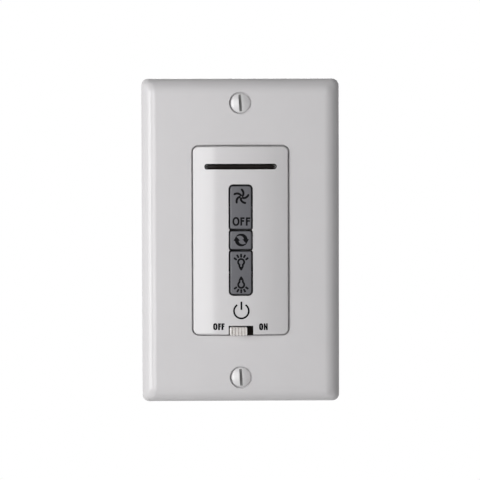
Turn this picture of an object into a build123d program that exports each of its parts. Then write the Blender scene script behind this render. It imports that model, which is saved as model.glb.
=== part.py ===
from build123d import *
import os
from math import atan, cos, degrees, radians, sqrt, tan

# Fan wall switch: a bevelled wall plate around a crowned control with three keys and a power
# slide. The wall is the plane y = 0, the room lies towards -Y, x runs to the right and z up.
# A height is the distance from the wall into the room, and is negative inside the wall box.

# Wall plate
plate_width = 69.85
plate_depth = 5.6
plate_wall = 2.0
plate_shoulder_drop = 2.0
plate_shoulder_angle = 36
plate_bevel_drop = 1.7
plate_bevel_angle = 63
plate_front_radius = 5.0
plate_shoulder_radius = 4.5
plate_rim_radius = 1.2
plate_corner_radius = 2.4
plate_opening_edge = 0.35
plate_boss_radius = 3.0

# Thread that the plate screws and the box screws share
thread_radius = 1.75
thread_clearance = 0.05

# Plate screws
plate_screw_length = 12.7
plate_screw_head_radius = 3.45
plate_screw_crown = 1.15
plate_screw_sink = 0.6
plate_screw_slot_width = 0.85
plate_screw_slot_depth = 0.9
upper_slot_turn = 4
lower_slot_turn = 3
plate_hole_clearance = 0.35
counterbore_gap = 0.5
counterbore_depth = 1.3
countersink_angle = 82

# Box screws and the retainers that keep them in the yoke
box_screw_length = 25.4
box_screw_head_radius = 3.5
box_screw_head_height = 1.85
box_screw_head_edge = 0.7
box_screw_neck_radius = 1.4
box_screw_slot_width = 1.0
box_screw_slot_depth = 0.9
retainer_radius = 3.3
retainer_thickness = 0.8
retainer_clearance = 0.05
retainer_gap = 1.97
screw_row_gap = 6.75

# Mounting yoke
yoke_setback = 0.2
yoke_thickness = 1.2
yoke_side_margin = 1.0
yoke_end_margin = 4.58
yoke_end_gap = 2.15
yoke_corner_radius = 2.5
ear_reach = 3.0
ear_height = 14.0
score_width = 0.8
score_length = 9.0
score_inset = 10.0
yoke_slot_length = 6.4
yoke_slot_clearance = 0.2
collar_wall = 0.9
collar_length = 1.1

# Front cover
cover_width = 33.5
cover_height = 66.3
cover_proud = 0.7
cover_crown = 1.9
cover_wall = 1.8
cover_corner_radius = 2.0
cover_edge_radius = 0.5
cover_gap = 0.42
flange_reach = 2.2
flange_thickness = 1.6
post_radius = 2.2
post_inset_x = 3.2
post_inset_z = 2.9
bay_tab_margin = 1.55
bay_end_margin = 0.3

# Keys: two rockers with a push key between them
key_width = 7.4
rocker_length = 15.1
push_length = 6.4
key_spacing = 0.75
key_gap = 0.58
key_proud = 0.25
key_wall = 1.0
key_edge_radius = 0.35
key_end_radius = 1.1
key_joint_radius = 0.5
key_row_rise = 0.2
key_post_radius = 1.3
skirt_drop = 2.1
trunnion_radius = 0.8
trunnion_clearance = 0.05
trunnion_end_gap = 0.2
pivot_lift = 3.2
rib_offset = 0.5
rib_thickness = 1.4
rib_drop = 2.4
rib_end_margin = 2.4
wing_height = 4.0
wing_thickness = 0.8
wing_lift = 0.2
wing_clearance = 0.15

# Indicator window, its lens and its lamps
window_length = 25.5
window_height = 2.0
window_inset = 7.1
lens_clearance = 0.12
lens_recess = 0.45
lens_edge_radius = 0.3
lens_flange = 0.7
lens_flange_thickness = 1.0
lens_seat_drop = 0.55
lens_seat_margin = 0.3
lamp_count = 4
lamp_side_gap = 0.5
lamp_length = 2.4
lamp_width = 1.6
lamp_base = 0.5
lamp_lens_length = 1.5
lamp_lens_width = 1.2
lamp_lens_height = 0.6
lamp_lens_radius = 0.3

# Power slide: the notch, the knob and the switch behind it
slide_inset = 1.25
slide_travel = 1.73
slide_side_gap = 0.4
notch_height = 3.17
knob_width = 6.13
knob_height = 2.9
knob_proud = 0.75
knob_base_gap = 0.9
knob_corner_radius = 0.45
knob_edge_radius = 0.25
groove_count = 5
groove_pitch = 1.1
groove_width = 0.5
groove_depth = 1.3
socket_clearance = 0.03
socket_depth = 2.4
can_length = 8.6
can_width = 4.0
can_height = 3.4
can_wall = 0.3
can_side_gap = 0.5
can_front_gap = 0.5
base_height = 1.0
base_clearance = 0.05
pin_count = 3
pin_pitch = 2.5
pin_radius = 0.45
pin_clearance = 0.05
pin_tail = 1.2
foot_length = 4.2
foot_width = 2.9
foot_gap = 0.25
stem_length = 2.0
stem_width = 1.6
stem_clearance = 0.2
contact_length = 3.2
contact_width = 2.0
contact_thickness = 0.35

# Rubber keypad
keypad_side_gap = 0.5
keypad_end_margin = 2.6
keypad_corner_radius = 1.5
keypad_sheet = 1.0
dome_offset = 4.8
dome_base_radius = 2.6
dome_top_radius = 1.6
dome_height = 1.6
dome_wall = 0.7
dome_roof = 0.9
core_radius = 0.9
pill_radius = 0.75
pill_thickness = 0.4
press_travel = 0.58

# Circuit board and the sheet that keeps it off the yoke
insulator_thickness = 0.4
board_thickness = 1.6
board_side_gap = 3.05
board_top_inset = 3.15
board_switch_margin = 0.3
board_boss_gap = 0.5
lead_radius = 0.35
lead_clearance = 0.1

# Parts on the back of the board, each at a place to the right and up
film_place = (-4.5, 14.0)
film_length = 13.0
film_width = 5.5
film_height = 11.0
film_edge_radius = 0.6
film_lead_pitch = 10.0
electrolytic_place = (7.0, 4.5)
electrolytic_radius = 4.0
electrolytic_height = 11.5
electrolytic_edge_radius = 0.6
electrolytic_groove = 0.35
electrolytic_groove_rise = 1.6
electrolytic_lead_pitch = 3.5
resistor_place = (-4.5, 6.5)
resistor_radius = 1.7
resistor_length = 9.0
resistor_cap = 0.25
fuse_place = (-4.5, 0.5)
fuse_radius = 1.5
fuse_length = 8.0
fuse_cap = 0.2
axial_cap_length = 1.8
axial_lead_run = 1.5
axial_lead_bend = 0.8
axial_lift = 0.4
rectifier_place = (7.0, -5.5)
rectifier_length = 8.0
rectifier_width = 6.0
rectifier_height = 3.2
rectifier_edge_radius = 0.4
rectifier_lead_pitch_x = 5.0
rectifier_lead_pitch_z = 3.6
chip_place = (-3.5, -7.5)
chip_length = 9.9
chip_width = 3.9
chip_height = 1.6
chip_lift = 0.15
chip_leg_count = 8
chip_leg_pitch = 1.27
chip_leg_width = 0.42
chip_leg_reach = 1.05
chip_leg_thickness = 0.7
crystal_place = (0.0, -15.5)
crystal_length = 11.0
crystal_width = 4.6
crystal_height = 3.5
crystal_rim = 0.4
crystal_rim_height = 0.6
crystal_edge_radius = 0.5
crystal_lead_pitch = 4.9
terminal_width = 2.8
terminal_thickness = 0.8
terminal_height = 5.0

# Rear housing and its screws
housing_depth = 24.2
housing_wall = 1.8
housing_end_gap = 0.4
housing_corner_radius = 3.0
housing_back_radius = 1.2
boss_radius = 3.3
boss_side_gap = 0.55
boss_floor = 4.2
shelf_thickness = 1.4
shelf_overlap = 1.4
shelf_rise = 20.0
exit_radius = 2.25
exit_collar = 1.4
exit_collar_wall = 1.3
exit_pitch = 13.0
exit_drop = 22.0
housing_screw_radius = 1.05
housing_screw_length = 8.0
housing_screw_head_radius = 2.2
housing_screw_head_height = 1.7
housing_screw_edge_radius = 0.5
housing_screw_recess_width = 0.6
housing_screw_recess_length = 2.6
housing_screw_recess_depth = 0.8
housing_screw_clearance = 0.35
housing_screw_head_clearance = 0.3
pilot_clearance = 0.05
pilot_end_gap = 0.4

# Heights that follow
yoke_front = yoke_setback + yoke_thickness
board_front = yoke_setback - insulator_thickness
board_back = board_front - board_thickness
housing_back = yoke_setback - housing_depth
plate_ceiling = plate_depth - plate_wall
cover_edge = plate_depth + cover_proud
cover_top = cover_edge + cover_crown
keypad_top = board_front + keypad_sheet
dome_top = keypad_top + dome_height
pill_front = board_front + press_travel + pill_thickness
pivot_height = dome_top + pivot_lift
skirt_back = pivot_height - skirt_drop
rib_back = pivot_height - rib_drop
wing_front = pivot_height + wing_lift
can_front = board_front + can_height
base_front = board_front + base_height
contact_front = base_front + contact_thickness
knob_back = can_front + knob_base_gap
knob_front = cover_top + knob_proud
boss_seat = yoke_setback - boss_floor

# The cover's crown is part of a cylinder with an upright axis
crown_radius = ((cover_width / 2) ** 2 + cover_crown**2) / (2 * cover_crown)
crown_axis = cover_top - crown_radius

# Places that follow
post_x = cover_width / 2 - post_inset_x
post_z = cover_height / 2 - post_inset_z
window_z = cover_height / 2 - window_inset
slide_z = slide_inset - cover_height / 2
slide_rest = -slide_travel / 2
notch_width = knob_width + slide_travel + 2 * slide_side_gap
rocker_rise = push_length / 2 + key_spacing + rocker_length / 2
push_z = key_row_rise
fan_z = push_z + rocker_rise
light_z = push_z - rocker_rise
rib_inner = key_width / 2 + key_gap + rib_offset
rib_outer = rib_inner + rib_thickness
key_reach = rib_outer - trunnion_end_gap
dome_rises = [
    fan_z + dome_offset,
    fan_z - dome_offset,
    push_z,
    light_z + dome_offset,
    light_z - dome_offset,
]
dome_taper = degrees(atan((dome_base_radius - dome_top_radius) / dome_height))

# The board has a tab at each end, which passes between the housing's bosses
board_width = cover_width - 2 * board_side_gap
board_top = cover_height / 2 - board_top_inset
board_bottom = slide_z - can_width / 2 - board_switch_margin
tab_width = 2 * (post_x - boss_radius - board_boss_gap)
tab_start = post_z - boss_radius - board_boss_gap
housing_width = 2 * (post_x + boss_radius + boss_side_gap + housing_wall)
housing_height = 2 * (housing_end_gap - board_bottom + housing_wall)

# The yoke's window lies inside the board's outline, and frames the keypad and the lamps
bay_width = tab_width - 2 * bay_tab_margin
bay_height = 2 * (post_z - post_radius - bay_end_margin)
switch_bay_width = can_length + 2 * can_side_gap
switch_bay_end = slide_z - can_width / 2 - can_side_gap
keypad_width = bay_width - 2 * keypad_side_gap
lamp_pitch = (bay_width - 2 * lamp_side_gap - lamp_length) / (lamp_count - 1)

# The box screws pass the housing, the plate screws pass the box screws, the yoke takes them all
# and the plate covers the yoke: 83.34, 96.84, 106.0 and 114.3 in height
box_screw_pitch = housing_height + 2 * (retainer_radius + retainer_gap)
plate_screw_pitch = box_screw_pitch + 2 * screw_row_gap
yoke_length = plate_screw_pitch + 2 * yoke_end_margin
plate_height = yoke_length + 2 * (yoke_end_gap + plate_wall)
yoke_width = housing_width + 2 * yoke_side_margin
ear_width = yoke_width + 2 * ear_reach
ear_rise = (yoke_length - ear_height) / 2

# Sketch planes across the object and along it, both with y as the height
across = Plane(origin=(0, 0, 0), x_dir=(1, 0, 0), z_dir=(0, 0, -1))
along = Plane(origin=(0, 0, 0), x_dir=(0, 0, 1), z_dir=(1, 0, 0))

os.makedirs("parts", exist_ok=True)


def front(height):
    """The plane at this height that is parallel to the wall, seen from the room."""
    return Plane.XZ.offset(height)


def crown_height(x, lift=0.0):
    """Height at x of the cover's face, or of a surface that runs parallel to it."""
    return crown_axis + sqrt((crown_radius + lift) ** 2 - x**2)


def crowned_section(rise, width, back, lift):
    """Section at this rise with a flat back and a front that runs parallel to the cover's face."""
    half = width / 2
    side = crown_height(half, lift)
    with BuildSketch(across.offset(-rise)) as section:
        with BuildLine():
            Polyline((-half, side), (-half, back), (half, back), (half, side))
            ThreePointArc((-half, side), (0, crown_height(0, lift)), (half, side))
        make_face()
    return section.sketch


def bevelled_block(width, height, levels, corner, radii):
    """Block on the wall with an upright rim, a steep bevel and a shallow shoulder up to its front.

    The levels are the heights of the rim, the shoulder and the front, and the radii round their edges.
    """
    rim, shoulder, depth = levels
    lower_run = (shoulder - rim) / tan(bevel)
    whole_run = lower_run + (depth - shoulder) / tan(slant)
    with BuildPart() as block:
        with BuildSketch(front(0)):
            RectangleRounded(width, height, corner)
        extrude(amount=rim)
        with BuildSketch(front(rim)):
            RectangleRounded(width, height, corner)
        with BuildSketch(front(shoulder)):
            RectangleRounded(width - 2 * lower_run, height - 2 * lower_run, corner)
        with BuildSketch(front(depth)):
            RectangleRounded(width - 2 * whole_run, height - 2 * whole_run, corner)
        loft(ruled=True)
        for level, radius in zip(levels, radii):
            fillet(block.edges().filter_by_position(Axis.Y, -1.01 * level, -0.99 * level), radius)
    return block


def key_outline(length, top_radius, bottom_radius, margin):
    """Outline of a key seen from the room, or of its opening with a margin around it."""
    with BuildSketch() as outline:
        Rectangle(key_width + 2 * margin, length + 2 * margin)
        fillet(outline.vertices().group_by(Axis.Y)[-1], top_radius + margin)
        fillet(outline.vertices().group_by(Axis.Y)[0], bottom_radius + margin)
    return outline.sketch


def bay_outline():
    """Window that the yoke and the insulator leave open, with a bay for the slide switch."""
    with BuildSketch() as outline:
        Rectangle(bay_width, bay_height)
        with Locations((0, switch_bay_end / 2)):
            Rectangle(switch_bay_width, -switch_bay_end)
    return outline.sketch


def board_outline():
    """Outline of the circuit board, with a tab at each end."""
    with BuildSketch() as outline:
        Rectangle(board_width, 2 * tab_start)
        with Locations((0, (board_top + board_bottom) / 2)):
            Rectangle(tab_width, board_top - board_bottom)
    return outline.sketch


# Wall plate: its rounded edge runs round the corners, and the hollow behind follows at a wall's
# thickness. Each screw hole is counterbored above its seat, so a narrow ring is left round the head
bevel = radians(plate_bevel_angle)
slant = radians(plate_shoulder_angle)
plate_shoulder = plate_depth - plate_shoulder_drop
plate_rim = plate_shoulder - plate_bevel_drop
hollow_shoulder = plate_shoulder - plate_wall * cos((bevel + slant) / 2) / cos((bevel - slant) / 2)
hollow_rim = plate_rim + plate_wall * tan(bevel) - plate_wall / cos(bevel)
head_slope = tan(radians(countersink_angle / 2))
head_edge = plate_depth - plate_screw_sink
seat_front = plate_depth - counterbore_depth
seat_radius = plate_screw_head_radius - (head_edge - seat_front) * head_slope
plate_block = bevelled_block(
    plate_width,
    plate_height,
    (plate_rim, plate_shoulder, plate_depth),
    plate_corner_radius,
    (plate_rim_radius, plate_shoulder_radius, plate_front_radius),
)
plate_hollow = bevelled_block(
    plate_width - 2 * plate_wall,
    plate_height - 2 * plate_wall,
    (hollow_rim, hollow_shoulder, plate_ceiling),
    plate_corner_radius / 2,
    (plate_rim_radius / 4, plate_shoulder_radius / 2, plate_front_radius / 2),
)
with BuildPart() as wall_plate:
    add(plate_block.part)
    add(plate_hollow.part, mode=Mode.SUBTRACT)
    with BuildSketch(front(yoke_front)):
        with GridLocations(0, plate_screw_pitch, 1, 2):
            Circle(plate_boss_radius)
    extrude(amount=plate_depth - plate_wall / 2 - yoke_front)
    with BuildSketch(front(0)):
        RectangleRounded(
            cover_width + 2 * cover_gap,
            cover_height + 2 * cover_gap,
            cover_corner_radius + cover_gap,
        )
    extrude(amount=plate_depth, mode=Mode.SUBTRACT)
    plate_front = wall_plate.faces().filter_by(Plane.XZ).sort_by(Axis.Y)[0]
    fillet(plate_front.inner_wires().edges(), plate_opening_edge)
    with BuildSketch(front(plate_depth)):
        with GridLocations(0, plate_screw_pitch, 1, 2):
            Circle(plate_screw_head_radius + counterbore_gap)
    extrude(amount=-counterbore_depth, mode=Mode.SUBTRACT)
    with Locations(front(seat_front)):
        with GridLocations(0, plate_screw_pitch, 1, 2):
            CounterSinkHole(
                radius=thread_radius + plate_hole_clearance,
                counter_sink_radius=seat_radius,
                depth=plate_depth,
                counter_sink_angle=countersink_angle,
            )
wall_plate.part.label = "wall_plate"
export_step(wall_plate.part, "parts/wall_plate.step")

# Plate screws: oval heads seated in the countersinks, each slot a few degrees off upright
head_root = head_edge - (plate_screw_head_radius - thread_radius) / head_slope
head_top = head_edge + plate_screw_crown
plate_screw_tip = head_edge - plate_screw_length
slot_turns = {plate_screw_pitch / 2: upper_slot_turn, -plate_screw_pitch / 2: lower_slot_turn}
with BuildPart() as plate_screws:
    for rise, turn in slot_turns.items():
        with BuildSketch(across.offset(-rise)):
            with BuildLine():
                Polyline(
                    (0, head_top),
                    (0, plate_screw_tip),
                    (thread_radius, plate_screw_tip),
                    (thread_radius, head_root),
                    (plate_screw_head_radius, head_edge),
                )
                TangentArc((0, head_top), (plate_screw_head_radius, head_edge), tangent=(1, 0))
            make_face()
        revolve(axis=Axis((0, 0, rise), (0, -1, 0)))
        with BuildSketch(front(head_top)):
            with Locations((0, rise)):
                Rectangle(plate_screw_slot_width, 2 * plate_screw_head_radius, rotation=turn)
        extrude(amount=-plate_screw_slot_depth, mode=Mode.SUBTRACT)
plate_screws.part.label = "plate_screws"
export_step(plate_screws.part, "parts/plate_screws.step")

# Mounting yoke: a flat stamping with break-off ears, slots for the box screws and drawn collars
# that are tapped for the plate screws
with BuildPart() as mounting_yoke:
    with BuildSketch(front(yoke_setback)):
        Rectangle(yoke_width, yoke_length - ear_height)
        with GridLocations(0, 2 * ear_rise, 1, 2):
            RectangleRounded(ear_width, ear_height, yoke_corner_radius)
        add(bay_outline(), mode=Mode.SUBTRACT)
        with GridLocations(0, box_screw_pitch, 1, 2):
            slot_width = 2 * (thread_radius + yoke_slot_clearance)
            SlotOverall(yoke_slot_length, slot_width, mode=Mode.SUBTRACT)
        with GridLocations(ear_width - 2 * score_inset, 2 * ear_rise, 2, 2):
            SlotOverall(score_length, score_width, rotation=90, mode=Mode.SUBTRACT)
        with GridLocations(2 * post_x, 2 * post_z, 2, 2):
            Circle(housing_screw_radius + housing_screw_clearance, mode=Mode.SUBTRACT)
    extrude(amount=yoke_thickness)
    with BuildSketch(front(yoke_setback)):
        with GridLocations(0, plate_screw_pitch, 1, 2):
            Circle(thread_radius + thread_clearance + collar_wall)
    extrude(amount=-collar_length)
    with BuildSketch(front(yoke_front)):
        with GridLocations(0, plate_screw_pitch, 1, 2):
            Circle(thread_radius + thread_clearance)
    extrude(amount=-yoke_thickness - collar_length, mode=Mode.SUBTRACT)
mounting_yoke.part.label = "mounting_yoke"
export_step(mounting_yoke.part, "parts/mounting_yoke.step")

# Box screws: a plain neck through the yoke and the retainer, then the thread
thread_start = yoke_setback - retainer_thickness
box_screw_tip = yoke_front - box_screw_length
box_head_top = yoke_front + box_screw_head_height
box_head_edge = yoke_front + box_screw_head_edge
with BuildPart() as box_screws:
    for rise in (box_screw_pitch / 2, -box_screw_pitch / 2):
        with BuildSketch(across.offset(-rise)):
            with BuildLine():
                Polyline(
                    (0, box_head_top),
                    (0, box_screw_tip),
                    (thread_radius, box_screw_tip),
                    (thread_radius, thread_start),
                    (box_screw_neck_radius, thread_start),
                    (box_screw_neck_radius, yoke_front),
                    (box_screw_head_radius, yoke_front),
                    (box_screw_head_radius, box_head_edge),
                )
                TangentArc((0, box_head_top), (box_screw_head_radius, box_head_edge), tangent=(1, 0))
            make_face()
        revolve(axis=Axis((0, 0, rise), (0, -1, 0)))
    with BuildSketch(front(box_head_top)):
        with GridLocations(0, box_screw_pitch, 1, 2):
            Rectangle(2 * box_screw_head_radius, box_screw_slot_width)
    extrude(amount=-box_screw_slot_depth, mode=Mode.SUBTRACT)
box_screws.part.label = "box_screws"
export_step(box_screws.part, "parts/box_screws.step")

with BuildPart() as screw_retainers:
    with BuildSketch(front(yoke_setback)):
        with GridLocations(0, box_screw_pitch, 1, 2):
            Circle(retainer_radius)
            Circle(box_screw_neck_radius + retainer_clearance, mode=Mode.SUBTRACT)
    extrude(amount=-retainer_thickness)
screw_retainers.part.label = "screw_retainers"
export_step(screw_retainers.part, "parts/screw_retainers.step")

# Front cover: a crowned shell with a flange behind the plate, screw posts in its corners, a flat
# seat for the lens and two ribs that carry the keys
lens_seat = crown_height(window_length / 2, -cover_wall) - lens_seat_drop
seat_margin = lens_flange + lens_seat_margin
rib_length = 2 * (rocker_rise + trunnion_radius + rib_end_margin)
pilot_end = boss_seat + housing_screw_length + pilot_end_gap
notch_top = notch_height - cover_height / 2
with BuildPart() as front_cover:
    extrude(crowned_section(0, cover_width, yoke_front, 0), amount=cover_height / 2, both=True)
    with BuildSketch(front(yoke_front)):
        RectangleRounded(cover_width, cover_height, cover_corner_radius)
    extrude(amount=cover_top - yoke_front, mode=Mode.INTERSECT)
    fillet(front_cover.faces().sort_by(Axis.Y)[0].edges(), cover_edge_radius)
    with BuildSketch(front(yoke_front)):
        RectangleRounded(
            cover_width + 2 * flange_reach,
            cover_height + 2 * flange_reach,
            cover_corner_radius + flange_reach,
        )
    extrude(amount=flange_thickness)
    cover_hollow = crowned_section(0, cover_width - 2 * cover_wall, yoke_front, -cover_wall)
    extrude(cover_hollow, amount=cover_height / 2 - cover_wall, both=True, mode=Mode.SUBTRACT)
    with BuildSketch(front(yoke_front)):
        with GridLocations(2 * post_x, 2 * post_z, 2, 2):
            Circle(post_radius)
    extrude(amount=crown_height(post_x, -cover_wall / 2) - yoke_front)
    seat_width = window_length + 2 * seat_margin
    seat_block = crowned_section(window_z, seat_width, lens_seat, -cover_wall / 2)
    extrude(seat_block, amount=window_height / 2 + seat_margin, both=True)
    with BuildSketch(front(rib_back)):
        with Locations((0, push_z)):
            with GridLocations(rib_inner + rib_outer, 0, 2, 1):
                Rectangle(rib_thickness, rib_length)
    extrude(amount=crown_height(rib_outer, -cover_wall / 2) - rib_back)
    with BuildSketch(along):
        for rise in (fan_z, light_z):
            with Locations((rise, pivot_height)):
                Circle(trunnion_radius + trunnion_clearance)
            with Locations((rise, (pivot_height + rib_back) / 2)):
                Rectangle(2 * (trunnion_radius + trunnion_clearance), pivot_height - rib_back)
        with Locations((push_z, (wing_front + rib_back) / 2)):
            Rectangle(wing_height + 2 * wing_clearance, wing_front - rib_back)
    extrude(amount=rib_outer, both=True, mode=Mode.SUBTRACT)
    with BuildSketch(front(cover_top)):
        with Locations((0, fan_z)):
            add(key_outline(rocker_length, key_end_radius, key_joint_radius, key_gap))
        with Locations((0, push_z)):
            add(key_outline(push_length, key_joint_radius, key_joint_radius, key_gap))
        with Locations((0, light_z)):
            add(key_outline(rocker_length, key_joint_radius, key_end_radius, key_gap))
        with Locations((0, window_z)):
            SlotOverall(window_length, window_height)
    extrude(amount=rib_back - cover_top, mode=Mode.SUBTRACT)
    with BuildSketch(front(cover_top)):
        with Locations((0, notch_top - notch_height)):
            Rectangle(notch_width, 2 * notch_height)
    extrude(amount=can_front + can_front_gap - cover_top, mode=Mode.SUBTRACT)
    with BuildSketch(front(yoke_front)):
        with Locations((0, slide_z)):
            Rectangle(switch_bay_width, can_width + 2 * can_side_gap)
    extrude(amount=can_front + can_front_gap - yoke_front, mode=Mode.SUBTRACT)
    with BuildSketch(front(yoke_front)):
        with GridLocations(2 * post_x, 2 * post_z, 2, 2):
            Circle(housing_screw_radius + pilot_clearance)
    extrude(amount=pilot_end - yoke_front, mode=Mode.SUBTRACT)
front_cover.part.label = "front_cover"
export_step(front_cover.part, "parts/front_cover.step")

# Indicator lens: a smoked bar that fills the window, with a flange behind its seat
lens_back = lens_seat - lens_flange_thickness
with BuildPart() as indicator_lens:
    lens_bar = crowned_section(window_z, window_length, lens_back, -lens_recess)
    extrude(lens_bar, amount=window_height, both=True)
    with BuildSketch(front(lens_back)):
        with Locations((0, window_z)):
            SlotOverall(window_length - 2 * lens_clearance, window_height - 2 * lens_clearance)
    extrude(amount=cover_top - lens_back, mode=Mode.INTERSECT)
    fillet(indicator_lens.faces().sort_by(Axis.Y)[0].edges(), lens_edge_radius)
    with BuildSketch(front(lens_back)):
        with Locations((0, window_z)):
            SlotOverall(window_length + 2 * lens_flange, window_height + 2 * lens_flange)
    extrude(amount=lens_flange_thickness)
indicator_lens.part.label = "indicator_lens"
export_step(indicator_lens.part, "parts/indicator_lens.step")

with BuildPart() as indicator_lamps:
    with BuildSketch(front(board_front)):
        with Locations((0, window_z)):
            with GridLocations(lamp_pitch, 0, lamp_count, 1):
                Rectangle(lamp_length, lamp_width)
    extrude(amount=lamp_base)
    with BuildSketch(front(board_front + lamp_base)):
        with Locations((0, window_z)):
            with GridLocations(lamp_pitch, 0, lamp_count, 1):
                RectangleRounded(lamp_lens_length, lamp_lens_width, lamp_lens_radius)
    extrude(amount=lamp_lens_height)
indicator_lamps.part.label = "indicator_lamps"
export_step(indicator_lamps.part, "parts/indicator_lamps.step")


# Keys: crowned caps with a post over each dome
def rocker_key(rise, top_radius, bottom_radius):
    """A rocker that tilts on a trunnion at each side, with a post over each of its two domes."""
    with BuildPart() as key:
        cap = crowned_section(rise, key_width, skirt_back, key_proud)
        extrude(cap, amount=rocker_length / 2, both=True)
        with BuildSketch(front(skirt_back)):
            with Locations((0, rise)):
                add(key_outline(rocker_length, top_radius, bottom_radius, 0))
        extrude(amount=cover_top + key_proud - skirt_back, mode=Mode.INTERSECT)
        fillet(key.faces().sort_by(Axis.Y)[0].edges(), key_edge_radius)
        with BuildSketch(along):
            with Locations((rise, pivot_height)):
                Circle(trunnion_radius)
        extrude(amount=key_reach, both=True)
        hollow = crowned_section(rise, key_width - 2 * key_wall, dome_top, key_proud - key_wall)
        extrude(hollow, amount=rocker_length / 2 - key_wall, both=True, mode=Mode.SUBTRACT)
        with BuildSketch(front(dome_top)):
            with Locations((0, rise)):
                with GridLocations(0, 2 * dome_offset, 1, 2):
                    Circle(key_post_radius)
        extrude(amount=crown_height(key_post_radius, key_proud - key_wall / 2) - dome_top)
    return key


fan_key = rocker_key(fan_z, key_end_radius, key_joint_radius)
fan_key.part.label = "fan_key"
export_step(fan_key.part, "parts/fan_key.step")

light_key = rocker_key(light_z, key_joint_radius, key_end_radius)
light_key.part.label = "light_key"
export_step(light_key.part, "parts/light_key.step")

with BuildPart() as reverse_key:
    push_cap = crowned_section(push_z, key_width, skirt_back, key_proud)
    extrude(push_cap, amount=push_length / 2, both=True)
    with BuildSketch(front(skirt_back)):
        with Locations((0, push_z)):
            add(key_outline(push_length, key_joint_radius, key_joint_radius, 0))
    extrude(amount=cover_top + key_proud - skirt_back, mode=Mode.INTERSECT)
    fillet(reverse_key.faces().sort_by(Axis.Y)[0].edges(), key_edge_radius)
    with BuildSketch(front(wing_front)):
        with Locations((0, push_z)):
            Rectangle(2 * key_reach, wing_height)
    extrude(amount=-wing_thickness)
    push_hollow = crowned_section(push_z, key_width - 2 * key_wall, dome_top, key_proud - key_wall)
    extrude(push_hollow, amount=push_length / 2 - key_wall, both=True, mode=Mode.SUBTRACT)
    with BuildSketch(front(dome_top)):
        with Locations((0, push_z)):
            Circle(key_post_radius)
    extrude(amount=crown_height(key_post_radius, key_proud - key_wall / 2) - dome_top)
reverse_key.part.label = "reverse_key"
export_step(reverse_key.part, "parts/reverse_key.step")

# Rubber keypad: a sheet on the board with a hollow dome under each press point, whose core
# carries a carbon pill down to the board
keypad_length = 2 * (rocker_rise + dome_offset + dome_base_radius + keypad_end_margin)
with BuildPart() as rubber_keypad:
    with BuildSketch(front(board_front)):
        with Locations((0, push_z)):
            RectangleRounded(keypad_width, keypad_length, keypad_corner_radius)
    extrude(amount=keypad_sheet)
    with BuildSketch(front(keypad_top)):
        for rise in dome_rises:
            with Locations((0, rise)):
                Circle(dome_base_radius)
    extrude(amount=dome_height, taper=dome_taper)
    with BuildSketch(front(board_front)):
        for rise in dome_rises:
            with Locations((0, rise)):
                Circle(dome_base_radius - dome_wall)
    extrude(amount=keypad_sheet, mode=Mode.SUBTRACT)
    with BuildSketch(front(keypad_top)):
        for rise in dome_rises:
            with Locations((0, rise)):
                Circle(dome_base_radius - dome_wall)
    extrude(amount=dome_height - dome_roof, taper=dome_taper, mode=Mode.SUBTRACT)
    with BuildSketch(front(pill_front)):
        for rise in dome_rises:
            with Locations((0, rise)):
                Circle(core_radius)
    extrude(amount=dome_top - dome_roof / 2 - pill_front)
rubber_keypad.part.label = "rubber_keypad"
export_step(rubber_keypad.part, "parts/rubber_keypad.step")

with BuildPart() as carbon_pills:
    with BuildSketch(front(pill_front)):
        for rise in dome_rises:
            with Locations((0, rise)):
                Circle(pill_radius)
    extrude(amount=-pill_thickness)
carbon_pills.part.label = "carbon_pills"
export_step(carbon_pills.part, "parts/carbon_pills.step")

# Slide switch: a steel can over an insulating base with a row of pins
with BuildPart() as switch_can:
    with BuildSketch(front(board_front)):
        with Locations((0, slide_z)):
            Rectangle(can_length, can_width)
    extrude(amount=can_height)
    with BuildSketch(front(board_front)):
        with Locations((0, slide_z)):
            Rectangle(can_length - 2 * can_wall, can_width - 2 * can_wall)
    extrude(amount=can_height - can_wall, mode=Mode.SUBTRACT)
    with BuildSketch(front(can_front)):
        with Locations((0, slide_z)):
            stem_slot = stem_length + slide_travel + 2 * stem_clearance
            Rectangle(stem_slot, stem_width + 2 * stem_clearance)
    extrude(amount=-can_wall, mode=Mode.SUBTRACT)
switch_can.part.label = "switch_can"
export_step(switch_can.part, "parts/switch_can.step")

with BuildPart() as switch_base:
    with BuildSketch(front(board_front)):
        with Locations((0, slide_z)):
            base_trim = 2 * (can_wall + base_clearance)
            Rectangle(can_length - base_trim, can_width - base_trim)
            with GridLocations(pin_pitch, 0, pin_count, 1):
                Circle(pin_radius + pin_clearance, mode=Mode.SUBTRACT)
    extrude(amount=base_height)
switch_base.part.label = "switch_base"
export_step(switch_base.part, "parts/switch_base.step")

with BuildPart() as switch_pins:
    with BuildSketch(front(base_front)):
        with Locations((0, slide_z)):
            with GridLocations(pin_pitch, 0, pin_count, 1):
                Circle(pin_radius)
    extrude(amount=board_back - pin_tail - base_front)
switch_pins.part.label = "switch_pins"
export_step(switch_pins.part, "parts/switch_pins.step")

# What slides: the contact on the base, the actuator on the contact and the knob on its stem
with BuildPart() as slide_contact:
    with BuildSketch(front(base_front)):
        with Locations((slide_rest, slide_z)):
            Rectangle(contact_length, contact_width)
    extrude(amount=contact_thickness)
slide_contact.part.label = "slide_contact"
export_step(slide_contact.part, "parts/slide_contact.step")

foot_front = can_front - can_wall - foot_gap
with BuildPart() as slide_actuator:
    with BuildSketch(front(contact_front)):
        with Locations((slide_rest, slide_z)):
            Rectangle(foot_length, foot_width)
    extrude(amount=foot_front - contact_front)
    with BuildSketch(front(foot_front)):
        with Locations((slide_rest, slide_z)):
            Rectangle(stem_length, stem_width)
    extrude(amount=knob_back + socket_depth - foot_front)
slide_actuator.part.label = "slide_actuator"
export_step(slide_actuator.part, "parts/slide_actuator.step")

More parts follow.
